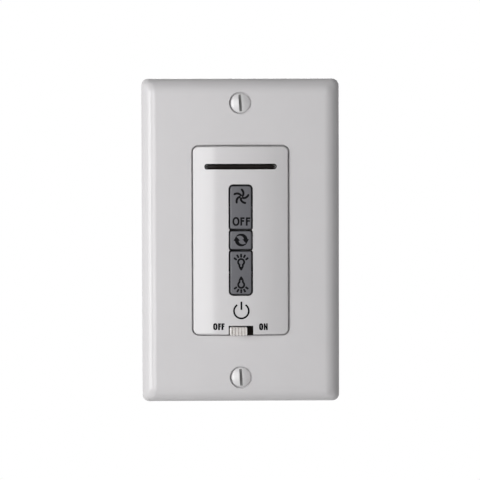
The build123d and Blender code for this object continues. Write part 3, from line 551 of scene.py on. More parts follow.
class Ink:
    """A pen that draws flat marks with bmesh operators, in millimetres with X right and Z up.

    The bar's trim and tip are shares of its width. The arm's level and reach, the slant's drop and its lap
    with the stem are shares of the letter's height, its width or its stem.
    """

    ring_sides: ClassVar[int] = 48
    bar_trim: ClassVar[float] = 0.25
    bar_tip: ClassVar[float] = 0.5
    arm_level: ClassVar[float] = 0.06
    arm_reach: ClassVar[float] = 0.9
    slant_drop: ClassVar[float] = 0.45
    slant_lap: ClassVar[float] = 0.9

    def __init__(self) -> None:
        """Starts an empty drawing."""
        self.mesh = bmesh.new()

    def stroke(self, path: Iterable[Point], widths: Iterable[float]) -> None:
        """Draws a line of changing width by extruding a short edge along a path.

        Args:
            path: Points of the line, from the drawing's centre.
            widths: Width of the line at each point.
        """
        points = [Vector((x, 0.0, z)) for x, z in path]
        edge = None
        for place, (point, width) in enumerate(zip(points, widths)):
            before = points[max(place - 1, 0)]
            after = points[min(place + 1, len(points) - 1)]
            along = (after - before).normalized()
            side = Vector((-along.z, 0.0, along.x)) * (width / 2)
            if edge is None:
                ends = [self.mesh.verts.new(point + side), self.mesh.verts.new(point - side)]
                edge = self.mesh.edges.new(ends)
                continue
            made = bmesh.ops.extrude_edge_only(self.mesh, edges=[edge])["geom"]
            edge = next(item for item in made if isinstance(item, BMEdge))
            old_middle = (edge.verts[0].co + edge.verts[1].co) / 2
            first = min(edge.verts, key=lambda vert: (vert.co - old_middle).dot(-side))
            second = edge.other_vert(first)
            first.co = point + side
            second.co = point - side

    def bar(self, start: Point, end: Point, width: float) -> None:
        """Draws a straight bar with the corners of its ends taken off.

        Args:
            start: First end.
            end: Second end.
            width: Width of the bar.
        """
        first, second = Vector(start), Vector(end)
        trim = (second - first).normalized() * (width * self.bar_trim)
        path = (first, first + trim, second - trim, second)
        tip = width * self.bar_tip
        self.stroke([tuple(point) for point in path], [tip, width, width, tip])

    def ring(self, middle: Point, radii: Point, line: Point, power: float) -> None:
        """Draws an oval ring by bridging two loops.

        Args:
            middle: Centre of the ring.
            radii: Outer half width and half height.
            line: Width of the line at the sides and at the top.
            power: 2 for an ellipse, more for a squarer letter O.
        """
        sides = self.ring_sides
        loops = []
        for radius_x, radius_z in (radii, (radii[0] - line[0], radii[1] - line[1])):
            verts = bmesh.ops.create_circle(self.mesh, cap_ends=False, segments=sides, radius=1.0)["verts"]
            for vert in verts:
                swell = (abs(vert.co.x) ** power + abs(vert.co.y) ** power) ** (-1.0 / power)
                across = vert.co.x * swell * radius_x
                upward = vert.co.y * swell * radius_z
                vert.co = Vector((across + middle[0], 0.0, upward + middle[1]))
            loops.extend({edge for vert in verts for edge in vert.link_edges})
        bmesh.ops.bridge_loops(self.mesh, edges=loops)

    def patch(self, corners: Iterable[Point]) -> None:
        """Fills a small straight-sided patch, such as an arrow's head, with its corners in order."""
        verts = [self.mesh.verts.new((x, 0.0, z)) for x, z in corners]
        bmesh.ops.contextual_create(self.mesh, geom=verts)

    def letter_f(self, left: float, size: Point, line: Point) -> None:
        """Draws a letter F: a stem, cut at the arms' heights, with two arms extruded from it.

        Args:
            left: Left edge of the stem.
            size: Width and height of the letter.
            line: Width of the stem and of the arms.
        """
        width, height = size
        stem, arm = line
        top = height / 2
        middle = self.arm_level * height
        arms = ((top - arm, top, width), (middle - arm / 2, middle + arm / 2, width * self.arm_reach))
        rows = [-top, *(level for low, high, _ in reversed(arms) for level in (low, high))]
        self.stroke([(left + stem / 2, row) for row in rows], [stem] * len(rows))
        for low, high, reach in arms:
            root = [edge for edge in self.mesh.edges if self._stands(edge, left + stem, low, high)]
            made = bmesh.ops.extrude_edge_only(self.mesh, edges=root)["geom"]
            verts = [item for item in made if isinstance(item, BMVert)]
            bmesh.ops.translate(self.mesh, verts=verts, vec=Vector((reach - stem, 0.0, 0.0)))

    @staticmethod
    def _stands(edge: BMEdge, x: float, low: float, high: float) -> bool:
        """Tells whether an edge stands at X and between two levels."""
        ends = [vert.co for vert in edge.verts]
        return all(abs(end.x - x) < WELD and low - WELD < end.z < high + WELD for end in ends)

    def letter_n(self, left: float, size: Point, line: float) -> None:
        """Draws a letter N: two stems and a slanting bar.

        Args:
            left: Left edge of the letter.
            size: Width and height of the letter.
            line: Width of the stems.
        """
        width, height = size
        half = height / 2
        right = left + width
        for middle in (left + line / 2, right - line / 2):
            self.stroke([(middle, -half), (middle, half)], [line, line])
        drop = height * self.slant_drop
        first, last = left + line * self.slant_lap, right - line * self.slant_lap
        self.patch([(first, half), (first, half - drop), (last, -half), (last, -half + drop)])


def arc(radius: float, start: float, span: float, stations: int) -> list[Point]:
    """Walks along an arc.

    Args:
        radius: Radius of the arc.
        start: Angle where it starts, in degrees.
        span: Angle that it turns through, in degrees.
        stations: Number of steps.

    Returns:
        The places on the arc, from its centre.
    """
    angles = [math.radians(start + span * station / stations) for station in range(stations + 1)]
    return [(radius * math.cos(angle), radius * math.sin(angle)) for angle in angles]


@dataclass
class PrintedSign:
    """A sign printed on a crowned face, as a thin layer of ink that follows the face.

    Sizes are in millimetres, X right and Z up from the part's middle, and angles in degrees. The ink stands
    out by its height, sits in the face by its root, and is cut every step, so that it bends with the face.
    """

    name: str
    carrier: str
    body: str
    centre: Point
    slot: str = "black_plastic"
    ink_height: float = 0.02
    ink_root: float = 0.02
    cut_step: float = 0.45

    def draw(self, ink: Ink) -> None:
        """Draws the sign; each kind of sign has its own."""
        raise NotImplementedError

    def build(self, nodes: Nodes) -> None:
        """Draws the sign, cuts it into narrow strips, lays it on its carrier and gives it thickness.

        Args:
            nodes: The CAD nodes by name.
        """
        ink = Ink()
        self.draw(ink)
        mesh = ink.mesh
        bmesh.ops.remove_doubles(mesh, verts=mesh.verts, dist=WELD)
        bmesh.ops.translate(mesh, verts=mesh.verts, vec=Vector((self.centre[0], 0.0, self.centre[1])))
        self._cut(mesh)
        bmesh.ops.triangulate(mesh, faces=mesh.faces)
        for face in mesh.faces:
            face.normal_update()
            if face.normal.dot(TO_ROOM) < 0:
                face.normal_flip()
        bmesh.ops.scale(mesh, verts=mesh.verts, vec=Vector((MM, MM, MM)))
        self._lay(mesh, CarrierFace(nodes[self.carrier]))
        make_piece(self.name, mesh, PRINT_BLACK, self.body)

    def _cut(self, mesh: BMesh) -> None:
        """Cuts the drawing along upright lines, so that it can follow the crown.

        Args:
            mesh: The flat drawing, in millimetres.
        """
        reach = [vert.co.x for vert in mesh.verts]
        line = math.floor(min(reach) / self.cut_step) * self.cut_step
        while line < max(reach):
            geometry = [*mesh.verts, *mesh.edges, *mesh.faces]
            bmesh.ops.bisect_plane(
                mesh, geom=geometry, dist=FINE_WELD, plane_co=(line, 0, 0), plane_no=(1, 0, 0)
            )
            line += self.cut_step

    def _lay(self, mesh: BMesh, carrier: CarrierFace) -> None:
        """Lays the flat drawing on its carrier's face and gives it thickness.

        Args:
            mesh: The flat drawing, in metres.
            carrier: The face it is printed on.
        """
        for vert in mesh.verts:
            vert.co.y = carrier.front(vert.co.x, vert.co.z).y - self.ink_height * MM
        made = bmesh.ops.extrude_face_region(mesh, geom=list(mesh.faces), use_keep_orig=True)["geom"]
        roots = [item for item in made if isinstance(item, BMVert)]
        bmesh.ops.translate(mesh, verts=roots, vec=-TO_ROOM * (self.ink_height + self.ink_root) * MM)
        bmesh.ops.recalc_face_normals(mesh, faces=mesh.faces)


@dataclass
class FanSign(PrintedSign):
    """Five curling blades; each taper is a share of the width at that end, and how fast it grows."""

    blades: int = 5
    reach: float = 2.78
    root: float = 0.25
    curl: float = 64.0
    tip_angle: float = 92.0
    line: float = 0.76
    root_taper: Point = (0.8, 1.2)
    tip_taper: Point = (0.55, 6.0)
    stations: int = 14

    def draw(self, ink: Ink) -> None:
        """Draws the blades one after another.

        Args:
            ink: The pen.
        """
        for blade in range(self.blades):
            tip = self.tip_angle + 360.0 / self.blades * blade
            path, widths = [], []
            for station in range(self.stations + 1):
                share = station / self.stations
                radius = self.root + (self.reach - self.root) * share
                angle = math.radians(tip - self.curl * (1.0 - share))
                path.append((radius * math.cos(angle), radius * math.sin(angle)))
                from_root = self.root_taper[0] + self.root_taper[1] * share
                from_tip = self.tip_taper[0] + self.tip_taper[1] * (1.0 - share)
                widths.append(self.line * min(1.0, from_root, from_tip))
            ink.stroke(path, widths)


@dataclass
class ReverseSign(PrintedSign):
    """Two arrows that chase each other round a circle, widening from the tail to the neck of the head."""

    radius: float = 2.25
    tail_angle: float = 142.0
    head_angle: float = 8.0
    tail_line: float = 0.28
    neck_line: float = 1.4
    swell: float = 0.8
    head: Profile = ((0.36, 0.26), (0.9, 0.16), (2.26, 0.3), (2.72, 0.26), (1.82, -1.36))
    stations: int = 18

    def draw(self, ink: Ink) -> None:
        """Draws both arrows, the second turned half way round.

        Args:
            ink: The pen.
        """
        for half_turn in (1.0, -1.0):
            path, widths = [], []
            for station in range(self.stations + 1):
                share = station / self.stations
                angle = math.radians(self.tail_angle + (self.head_angle - self.tail_angle) * share)
                width = self.tail_line + (self.neck_line - self.tail_line) * share ** self.swell
                radius = self.radius - width / 2
                path.append((half_turn * radius * math.cos(angle), half_turn * radius * math.sin(angle)))
                widths.append(width)
            ink.stroke(path, widths)
            ink.patch([(half_turn * x, half_turn * z) for x, z in self.head])


@dataclass
class LampSign(PrintedSign):
    """A lamp that shines up or down: a globe with a neck and a cap, two rays at each side and one upright."""

    way: LampWay = LampWay.UP
    globe: float = 1.4
    globe_rise: float = 0.18
    globe_start: float = -58.0
    globe_span: float = 296.0
    neck: Point = (0.62, -1.42)
    line: float = 0.66
    cap: Profile = (
        (-0.88, -1.44), (0.88, -1.44), (0.74, -1.8), (0.36, -2.5),
        (0.0, -2.86), (-0.36, -2.5), (-0.74, -1.8),
    )
    side_rays: tuple[tuple[Point, Point], ...] = (((0.85, 1.65), (1.5, 2.8)), ((1.5, 0.95), (2.55, 1.7)))
    middle_ray: Point = (1.75, 3.15)
    ray_line: float = 0.68
    stations: int = 30

    def draw(self, ink: Ink) -> None:
        """Draws the globe, the cap and the rays.

        Args:
            ink: The pen.
        """
        turn = self.way.value
        globe = arc(self.globe - self.line / 2, self.globe_start, self.globe_span, self.stations)
        half, end = self.neck
        outline = [(x, turn * (self.globe_rise + z)) for x, z in globe]
        path = [(half, turn * end), *outline, (-half, turn * end)]
        ink.stroke(path, [self.line] * len(path))
        ink.patch([(x, turn * z) for x, z in self.cap])
        for side in (-1.0, 1.0):
            for (near_x, near_z), (far_x, far_z) in self.side_rays:
                ink.bar((side * near_x, turn * near_z), (side * far_x, turn * far_z), self.ray_line)
        near, far = self.middle_ray
        ink.bar((0.0, turn * near), (0.0, turn * far), self.ray_line)


@dataclass
class PowerSign(PrintedSign):
    """The common power sign: a ring, open by an angle to either side of its top, with an upright bar."""

    radius: float = 2.6
    line: float = 0.62
    opening: float = 34.0
    bar_foot: float = 0.35
    bar_rise: float = 0.75
    stations: int = 48

    def draw(self, ink: Ink) -> None:
        """Draws the ring and the upright line.

        Args:
            ink: The pen.
        """
        path = arc(self.radius, 90.0 + self.opening, 360.0 - 2 * self.opening, self.stations)
        ink.stroke(path, [self.line] * len(path))
        ink.bar((0.0, self.bar_foot), (0.0, self.radius + self.bar_rise), self.line)


@dataclass
class WordSign(PrintedSign):
    """A word that starts with a letter O, with the left edge and width of each letter after it.

    The O stands past the others by its overshoot. A power of 2 makes it an ellipse, more a squarer O.
    """

    height: float = 2.36
    line: Point = (0.66, 0.54)
    o_line: Point = (0.66, 0.54)
    o_middle: float = 0.0
    o_half_width: float = 0.78
    o_overshoot: float = 0.03
    o_power: float = 2.6
    f_letters: Profile = ()
    n_letters: Profile = ()
    n_line: float = 0.52

    def draw(self, ink: Ink) -> None:
        """Draws the letters from the left to the right.

        Args:
            ink: The pen.
        """
        radii = (self.o_half_width, self.height / 2 + self.o_overshoot)
        ink.ring((self.o_middle, 0.0), radii, self.o_line, self.o_power)
        for left, width in self.f_letters:
            ink.letter_f(left, (width, self.height), self.line)
        for left, width in self.n_letters:
            ink.letter_n(left, (width, self.height), self.n_line)


@dataclass
class KeyOffSign(WordSign):
    """The word OFF in a light round-sided lettering."""

    height: float = 2.9
    line: Point = (0.62, 0.589)
    o_line: Point = (0.62, 0.62)
    o_middle: float = -1.97
    o_half_width: float = 1.23
    o_overshoot: float = 0.12
    o_power: float = 2.15
    f_letters: Profile = ((-0.44, 1.5), (1.5, 1.57))


@dataclass
class CoverOffSign(WordSign):
    """The word OFF in a narrow heavy lettering."""

    o_middle: float = -1.24
    f_letters: Profile = ((-0.28, 1.02), (0.92, 1.07))


@dataclass
class CoverOnSign(WordSign):
    """The word ON in a narrow heavy lettering."""

    o_middle: float = -0.76
    o_half_width: float = 0.74
    n_letters: Profile = ((0.16, 1.38),)


@dataclass
class SlottedScrew:
    """A slotted machine screw with a turned head and a cut thread, its axis along Y.

    Sizes are in millimetres, heights are above the wall, and the slot's turn is in degrees from upright. The
    edge, top and root of the head are heights: of the crown's edge, of its middle and of the plain neck's
    start. The rim gives the steps inwards and down from the crown's edge to each corner below it. The neck
    laps into the thread. A tooth's flat is a share of the pitch. A round saw cuts the slot, and the slacks
    say how far off the slot's sides, its floor and the crown a face still counts as one of the slot's.
    """

    axis_z: float
    slot_turn: float
    head_radius: float
    head_edge: float
    head_top: float
    head_root: float
    rim: Profile
    crown_steps: int
    neck_radius: float
    thread_start: float
    tip: float
    lap: float
    slot_width: float
    slot_depth: float
    slot_saw: float
    crown_inset: float = 0.08
    thread_radius: float = 1.75
    thread_depth: float = 0.42
    pitch: float = 0.794
    tooth_flat: float = 0.12
    turn_steps: int = 24
    head_steps: int = 72
    saw_steps: int = 160
    side_slack: float = 0.01
    floor_slack: float = 0.05
    crown_slack: float = 0.04

    @property
    def slot_floor(self) -> float:
        """Height of the slot's floor at its middle."""
        return self.head_top - self.slot_depth

    def head_profile(self) -> Profile:
        """Works out the profile of the head and its neck.

        Returns:
            Radius and height of each point, from the crown's middle to the end of the neck.
        """
        rise = self.head_top - self.head_edge
        ball = (self.head_radius ** 2 + rise ** 2) / (2 * rise)
        crown = []
        for step in range(self.crown_steps + 1):
            reach = (self.head_radius - self.crown_inset) * step / self.crown_steps
            crown.append((reach, self.head_top - ball + math.sqrt(ball ** 2 - reach ** 2)))
        rim = [(self.head_radius - inwards, self.head_edge - down) for inwards, down in self.rim]
        end = self.thread_start - self.lap
        return (*crown, *rim, (self.neck_radius, self.head_root), (self.neck_radius, end), (0.0, end))

    def build(self) -> BMesh:
        """Builds the whole screw in the part's frame.

        Returns:
            A bmesh in metres with the slotted head, the neck and the thread.
        """
        whole = self._head()
        join(whole, self._thread())
        bmesh.ops.translate(whole, verts=whole.verts, vec=Vector((0.0, 0.0, self.axis_z)))
        bmesh.ops.scale(whole, verts=whole.verts, vec=Vector((MM, MM, MM)))
        return whole

    def holds_in_slot(self, place: Vector) -> bool:
        """Tells whether a place lies in the slot and below the head's crown.

        Args:
            place: The place in millimetres, in the part's frame.

        Returns:
            True on the slot's walls and floor.
        """
        local = Vector((place.x, place.y, place.z - self.axis_z))
        local.rotate(Matrix.Rotation(math.radians(self.slot_turn), 3, "Y"))
        if abs(local.x) > self.slot_width / 2 + self.side_slack:
            return False
        if -local.y < self.slot_floor - self.floor_slack:
            return False
        radius = math.hypot(local.x, local.z)
        profile = self.head_profile()
        for (inner, upper), (outer, lower) in zip(profile, profile[1:]):
            if inner <= radius <= outer:
                crown = upper + (lower - upper) * (radius - inner) / (outer - inner)
                return -local.y < crown - self.crown_slack
        return False

    def _head(self) -> BMesh:
        """Turns the head and cuts its slot.

        Returns:
            The head, in millimetres about the screw's axis.
        """
        turned = bmesh.new()
        bmesh.ops.spin(
            turned, geom=self._outline(turned, self.head_profile(), 0.0), cent=(0, 0, 0), axis=(0, 1, 0),
            angle=math.tau, steps=self.head_steps, use_merge=True,
        )
        bmesh.ops.remove_doubles(turned, verts=turned.verts, dist=FINE_WELD)
        bmesh.ops.recalc_face_normals(turned, faces=turned.faces)
        saw = bmesh.new()
        bmesh.ops.create_cone(
            saw, cap_ends=True, segments=self.saw_steps, radius1=self.slot_saw, radius2=self.slot_saw,
            depth=self.slot_width,
        )
        upright = Matrix.Rotation(math.radians(90.0), 3, "Y")
        turn = Matrix.Rotation(math.radians(-self.slot_turn), 3, "Y")
        bmesh.ops.rotate(saw, verts=saw.verts, cent=(0, 0, 0), matrix=upright)
        bmesh.ops.translate(saw, verts=saw.verts, vec=Vector((0.0, -self.slot_floor - self.slot_saw, 0.0)))
        bmesh.ops.rotate(saw, verts=saw.verts, cent=(0, 0, 0), matrix=turn)
        return cut_away(turned, saw)

    def _thread(self) -> BMesh:
        """Cuts the thread: one tooth spun down the shank, then trimmed flat and closed at both ends.

        Returns:
            The threaded shank, in millimetres about the screw's axis.
        """
        shank = bmesh.new()
        root = self.thread_radius - self.thread_depth
        flat = self.pitch * self.tooth_flat
        middle = self.pitch * 0.5
        tooth = (
            (root, 0.0), (root, -flat), (self.thread_radius, -(middle - flat / 2)),
            (self.thread_radius, -(middle + flat / 2)), (root, -self.pitch),
        )
        # One turn more than the shank needs at either end, which the trim takes off.
        turns = math.ceil((self.thread_start - self.tip) / self.pitch) + 2
        bmesh.ops.spin(
            shank, geom=self._outline(shank, tooth, -self.thread_start - self.pitch), cent=(0, 0, 0),
            axis=(0, 1, 0), angle=math.tau * turns, steps=self.turn_steps * turns,
            dvec=(0, self.pitch / self.turn_steps, 0),
        )
        bmesh.ops.remove_doubles(shank, verts=shank.verts, dist=WELD)
        for level, outward in ((-self.thread_start, -1.0), (-self.tip, 1.0)):
            bmesh.ops.bisect_plane(
                shank, geom=[*shank.verts, *shank.edges, *shank.faces], dist=FINE_WELD,
                plane_co=(0, level, 0), plane_no=(0, outward, 0), clear_outer=True,
            )
        bmesh.ops.holes_fill(shank, edges=[edge for edge in shank.edges if edge.is_boundary], sides=0)
        bmesh.ops.recalc_face_normals(shank, faces=shank.faces)
        return shank

    @staticmethod
    def _outline(mesh: BMesh, profile: Profile, start: float) -> list[BMVert | BMEdge]:
        """Draws a profile that is then spun about the axis, with height 0 at the start along Y."""
        verts = [mesh.verts.new((radius, start - height, 0.0)) for radius, height in profile]
        return [*verts, *(mesh.edges.new(pair) for pair in zip(verts, verts[1:]))]


@dataclass
class PlateScrew(SlottedScrew):
    """A plate screw with an oval countersunk head."""

    head_radius: float = 3.45
    head_edge: float = 5.0
    head_top: float = 6.15
    head_root: float = 3.044
    rim: Profile = ((0.02, 0.01), (0.05, 0.06))
    crown_steps: int = 12
    neck_radius: float = 1.75
    thread_start: float = 2.944
    tip: float = -7.7
    lap: float = 0.1
    slot_width: float = 0.94
    slot_depth: float = 1.9
    slot_saw: float = 4.6


@dataclass
class BoxScrew(SlottedScrew):
    """A box screw with a round head that sits on the yoke, and a thin neck in its retainer."""

    head_radius: float = 3.5
    head_edge: float = 2.1
    head_top: float = 3.25
    head_root: float = 1.4
    rim: Profile = ((0.0, 0.06), (0.0, 0.6), (0.1, 0.7))
    crown_steps: int = 10
    neck_radius: float = 1.4
    thread_start: float = -0.6
    tip: float = -24.0
    lap: float = 0.2
    slot_width: float = 1.0
    slot_depth: float = 0.9
    slot_saw: float = 12.0


def build_screws(screws: Iterable[SlottedScrew]) -> BMesh:
    """Builds several screws as one bmesh.

    Args:
        screws: The screws.

    Returns:
        All of them, in metres in the part's frame.
    """
    whole = bmesh.new()
    for screw in screws:
        join(whole, screw.build())
    return whole


@dataclass
class SubAssembly:
    """A group of CAD nodes that is dressed as one, with the pieces that the scene adds to it."""

    nodes: Nodes
    finishes: ClassVar[Finishes] = {}

    def dress(self) -> None:
        """Gives each CAD node of the group its finish."""
        for name, finish in self.finishes.items():
            self.put_on(name, finish)

    def put_on(self, name: str, finish: Finish) -> None:
        """Gives one CAD node a finish and reports it."""
        self.nodes[name].material_slots[0].material = finish.material()
        LOG.info("dressed %s in %s", name, finish.name)

    def build(self) -> None:
        """Adds the group's own pieces; a group that has none adds nothing."""


@dataclass
class WallPlate(SubAssembly):
    """The bevelled wall plate and its two oval-head screws, one above and one below its opening."""

    finishes: ClassVar[Finishes] = {"wall_plate": WHITE_PLATE}
    screw_row: float = 48.42
    slot_turns: Point = (4.0, 3.0)

    def build(self) -> None:
        """Builds the two screws and marks their slots, whose faces get painted shade."""
        rows = (self.screw_row, -self.screw_row)
        screws = [PlateScrew(row, turn) for row, turn in zip(rows, self.slot_turns)]
        both = build_screws(screws)
        painted_shade = both.faces.layers.float.new(PaintedShadeFinish.attribute)
        for face in both.faces:
            # Faces in a slot get the painted shade colour.
            place = face.calc_center_median() / MM
            face[painted_shade] = float(any(screw.holds_in_slot(place) for screw in screws))
        piece = make_piece("plate_screws_threaded", both, WHITE_ENAMEL, "control")
        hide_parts("plate_screws")


@dataclass
class MountingStrap(SubAssembly):
    """The zinc plated yoke, the two box screws that hold it, and their fibre retainers."""

    finishes: ClassVar[Finishes] = {"mounting_yoke": ZINC_YOKE, "screw_retainers": FIBRE}
    screw_row: float = 41.67
    slot_turns: Point = (38.0, -22.0)

    def build(self) -> None:
        """Builds the two box screws."""
        rows = (self.screw_row, -self.screw_row)
        both = build_screws(BoxScrew(row, turn) for row, turn in zip(rows, self.slot_turns))
        piece = make_piece("box_screws_threaded", both, ZINC_SCREW, "control")
        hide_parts("box_screws")


@dataclass
class LensRim:
    """The fine polished rim round the face of the smoked window, a bead with a round section."""

    half_length: float = 11.72
    end_radius: float = 0.52
    bead: float = 0.15
    level: float = 26.05
    bead_sides: int = 10
    arc_steps: int = 14
    run_steps: int = 30

    def build(self, lens: Object) -> None:
        """Sweeps a small round section round the window and sinks half of it in the lens.

        Args:
            lens: The CAD node of the lens.
        """
        face = CarrierFace(lens)
        mesh = bmesh.new()
        rings = [self._ring(mesh, face, place, outward) for place, outward in self._path()]
        for ring, following in zip(rings, [*rings[1:], rings[0]]):
            bmesh.ops.bridge_loops(mesh, edges=[*ring, *following])
        bmesh.ops.recalc_face_normals(mesh, faces=mesh.faces)
        make_piece("lens_rim", mesh, LENS_RIM, "control")

    def _path(self) -> list[tuple[Vector, Vector]]:
        """Walks round the rim.

        Returns:
            Each place on the rim in millimetres, X right and Z up, with the outward direction there.
        """
        walk = []
        for side in (1.0, -1.0):
            end = Vector((side * self.half_length, 0.0, self.level))
            for x, z in arc(1.0, side * 90.0, -180.0, self.arc_steps):
                outward = Vector((x, 0.0, z))
                walk.append((end + outward * self.end_radius, outward))
            for step in range(1, self.run_steps):
                along = side * self.half_length * (1.0 - 2.0 * step / self.run_steps)
                outward = Vector((0.0, 0.0, -side))
                walk.append((Vector((along, 0.0, self.level)) + outward * self.end_radius, outward))
        return walk

    def _ring(self, mesh: BMesh, face: CarrierFace, place: Vector, outward: Vector) -> set[BMEdge]:
        """Adds one ring of the bead's section.

        Args:
            mesh: The bmesh that gets the ring.
            face: The lens's face.
            place: Middle of the ring in millimetres, X right and Z up.
            outward: Direction away from the window's middle.

        Returns:
            The ring's edges.
        """
        middle = face.front(place.x * MM, place.z * MM)
        sides, radius = self.bead_sides, self.bead * MM
        verts = bmesh.ops.create_circle(mesh, cap_ends=False, segments=sides, radius=radius)["verts"]
        for vert in verts:
            vert.co = middle + outward * vert.co.x + TO_ROOM * vert.co.y
        return {edge for vert in verts for edge in vert.link_edges}


@dataclass
class ControlFace(SubAssembly):
    """The crowned cover with its smoked window, its lamps and the lettering beside the slide."""

    finishes: ClassVar[Finishes] = {
        "front_cover": WHITE_COVER, "indicator_lens": SMOKED_LENS, "indicator_lamps": LAMP_EPOXY,
    }
    off_place: Point = (-7.8, -30.27)
    on_place: Point = (7.86, -30.35)
    power_place: Point = (0.15, -24.75)

    def build(self) -> None:
        """Adds the window's rim and prints the lettering."""
        LensRim().build(self.nodes["indicator_lens"])
        for sign in (
            CoverOffSign("cover_off_sign", "front_cover", "control", self.off_place),
            CoverOnSign("cover_on_sign", "front_cover", "control", self.on_place),
            PowerSign("cover_power_sign", "front_cover", "control", self.power_place),
        ):
            sign.build(self.nodes)


@dataclass
class KeyColumn(SubAssembly):
    """The three grey keys with their printed signs."""

    finishes: ClassVar[Finishes] = {
        "fan_key": KEY_GREY, "reverse_key": KEY_GREY, "light_key": KEY_GREY,
    }
    fan_place: Point = (0.22, 15.45)
    off_place: Point = (0.3, 6.8)
    reverse_place: Point = (0.16, 0.28)
    raise_place: Point = (0.1, -7.67)
    lower_place: Point = (0.1, -15.3)

    def build(self) -> None:
        """Prints the signs."""
        for sign in (
            FanSign("fan_sign", "fan_key", "fan_rocker", self.fan_place),
            KeyOffSign("fan_off_sign", "fan_key", "fan_rocker", self.off_place),
            ReverseSign("reverse_sign", "reverse_key", "reverse_button", self.reverse_place),
            LampSign("light_raise_sign", "light_key", "light_rocker", self.raise_place, way=LampWay.UP),
            LampSign("light_lower_sign", "light_key", "light_rocker", self.lower_place, way=LampWay.DOWN),
        ):
            sign.build(self.nodes)


@dataclass
class PowerSlide(SubAssembly):
    """The ribbed slide knob and the slide switch behind it."""

    finishes: ClassVar[Finishes] = {
        "slide_knob": WHITE_KNOB, "slide_actuator": MATT_BLACK, "slide_contact": BRIGHT_BRASS,
        "switch_can": BLACKENED_CAN, "switch_base": MATT_BLACK, "switch_pins": TINNED_PIN,
    }


@dataclass
class Electronics(SubAssembly):
    """The board with its keypad and components, sealed inside the housing."""

    finishes: ClassVar[Finishes] = {
        "rubber_keypad": SILICONE, "carbon_pills": CARBON, "film_capacitor": FILM_YELLOW,
        "fuse": FUSE_CERAMIC, "bridge_rectifier": MATT_BLACK, "controller_chip": MATT_BLACK,
        "crystal_can": TIN_CAN, "lead_terminals": TINNED_PIN, "circuit_board": BOARD_MASK,
        "insulator_sheet": FIBRE,
    }
    lacquer: ClassVar[Colour] = (0.25, 0.4, 0.45)
    bright_lead: ClassVar[Colour] = (0.6, 0.6, 0.58)
    sleeve: ClassVar[Colour] = (0.04, 0.05, 0.12)
    resistor_bands: ClassVar[tuple[Band, ...]] = (
        Band(0.0, bright_lead), Band(0.12, lacquer), Band(0.24, (0.3, 0.08, 0.02)), Band(0.3, lacquer),
        Band(0.38, (0.02, 0.02, 0.02)), Band(0.44, lacquer), Band(0.52, (0.6, 0.2, 0.02)),
        Band(0.58, lacquer), Band(0.72, (0.5, 0.38, 0.1)), Band(0.78, lacquer), Band(0.88, bright_lead),
    )
    sleeve_bands: ClassVar[tuple[Band, ...]] = (Band(0.0, sleeve), Band(0.86, (0.5, 0.52, 0.56)))

    def dress(self) -> None:
        """Dresses the plain components, then the banded resistor and the striped capacitor."""
        super().dress()
        low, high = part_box("dropper_resistor")
        axis = max(Axis, key=lambda choice: high[choice.value] - low[choice.value])
        self.put_on("dropper_resistor", BandedFinish(
            "resistor_banded_lacquer", self.lacquer, roughness=0.4, tone_swing=0.12, axis=axis,
            low=low[axis.value], high=high[axis.value], bands=self.resistor_bands,
        ))
        low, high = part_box("electrolytic_capacitor")
        self.put_on("electrolytic_capacitor", BandedFinish(
            "capacitor_shrink_sleeve", self.sleeve, roughness=0.25, tone_swing=0.1, axis=Axis.X,
            low=low.x, high=high.x, bands=self.sleeve_bands,
        ))


@dataclass
class RearHousing(SubAssembly):
    """The black rear housing and the four screws in its deep bores."""

    finishes: ClassVar[Finishes] = {"rear_housing": HOUSING_BLACK, "housing_screws": ZINC_SCREW}


@dataclass(frozen=True)
class Softbox:
    """A soft rectangular lamp that faces the part.

    Its azimuth and elevation are in degrees from the front, its distance and sides in metres. A radiance
    of 1 is about that of white paper in full light.
    """

    name: str
    azimuth: float
    elevation: float
    distance: float
    width: float
    height: float
    radiance: float

    def build(self) -> None:
        """Adds the lamp, hidden from the camera but not from reflections."""
        lamp = bpy.data.lights.new(self.name, "AREA")
        lamp.shape = "RECTANGLE"
        lamp.size = self.width
        lamp.size_y = self.height
        lamp.energy = self.radiance * math.pi * self.width * self.height
        round_by = math.radians(self.azimuth)
        up_by = math.radians(self.elevation)
        level = math.cos(up_by)
        toward = Vector((math.sin(round_by) * level, -math.cos(round_by) * level, math.sin(up_by)))
        item = bpy.data.objects.new(self.name, lamp)
        item.location = toward * self.distance
        item.rotation_mode = "QUATERNION"
        item.rotation_quaternion = (-toward).to_track_quat("-Z", "Y")
        item.visible_camera = False
        bpy.context.scene.collection.objects.link(item)


@dataclass(frozen=True)
class FloorPaint:
    """The floor's pale paint, lifted in brightness where the camera, gloss or glass shows it."""

    name: str = "floor_pale_paint"
    tone: float = 0.9
    roughness: float = 0.9
    lift: float = 0.75

    def material(self) -> Material:
        """Makes the material.

        Returns:
            The node material of the floor.
        """
        made = bpy.data.materials.new(self.name)
        made.use_nodes = True
        wiring = Wiring(made.node_tree)
        wiring.fill(made.node_tree.nodes["Principled BSDF"], {
            "Base Color": (self.tone, self.tone, self.tone, 1.0),
            "Roughness": self.roughness,
            "Emission Color": WHITE,
            "Emission Strength": wiring.calculate("MULTIPLY", {0: wiring.plain_rays(), 1: self.lift}),
        })
        return made


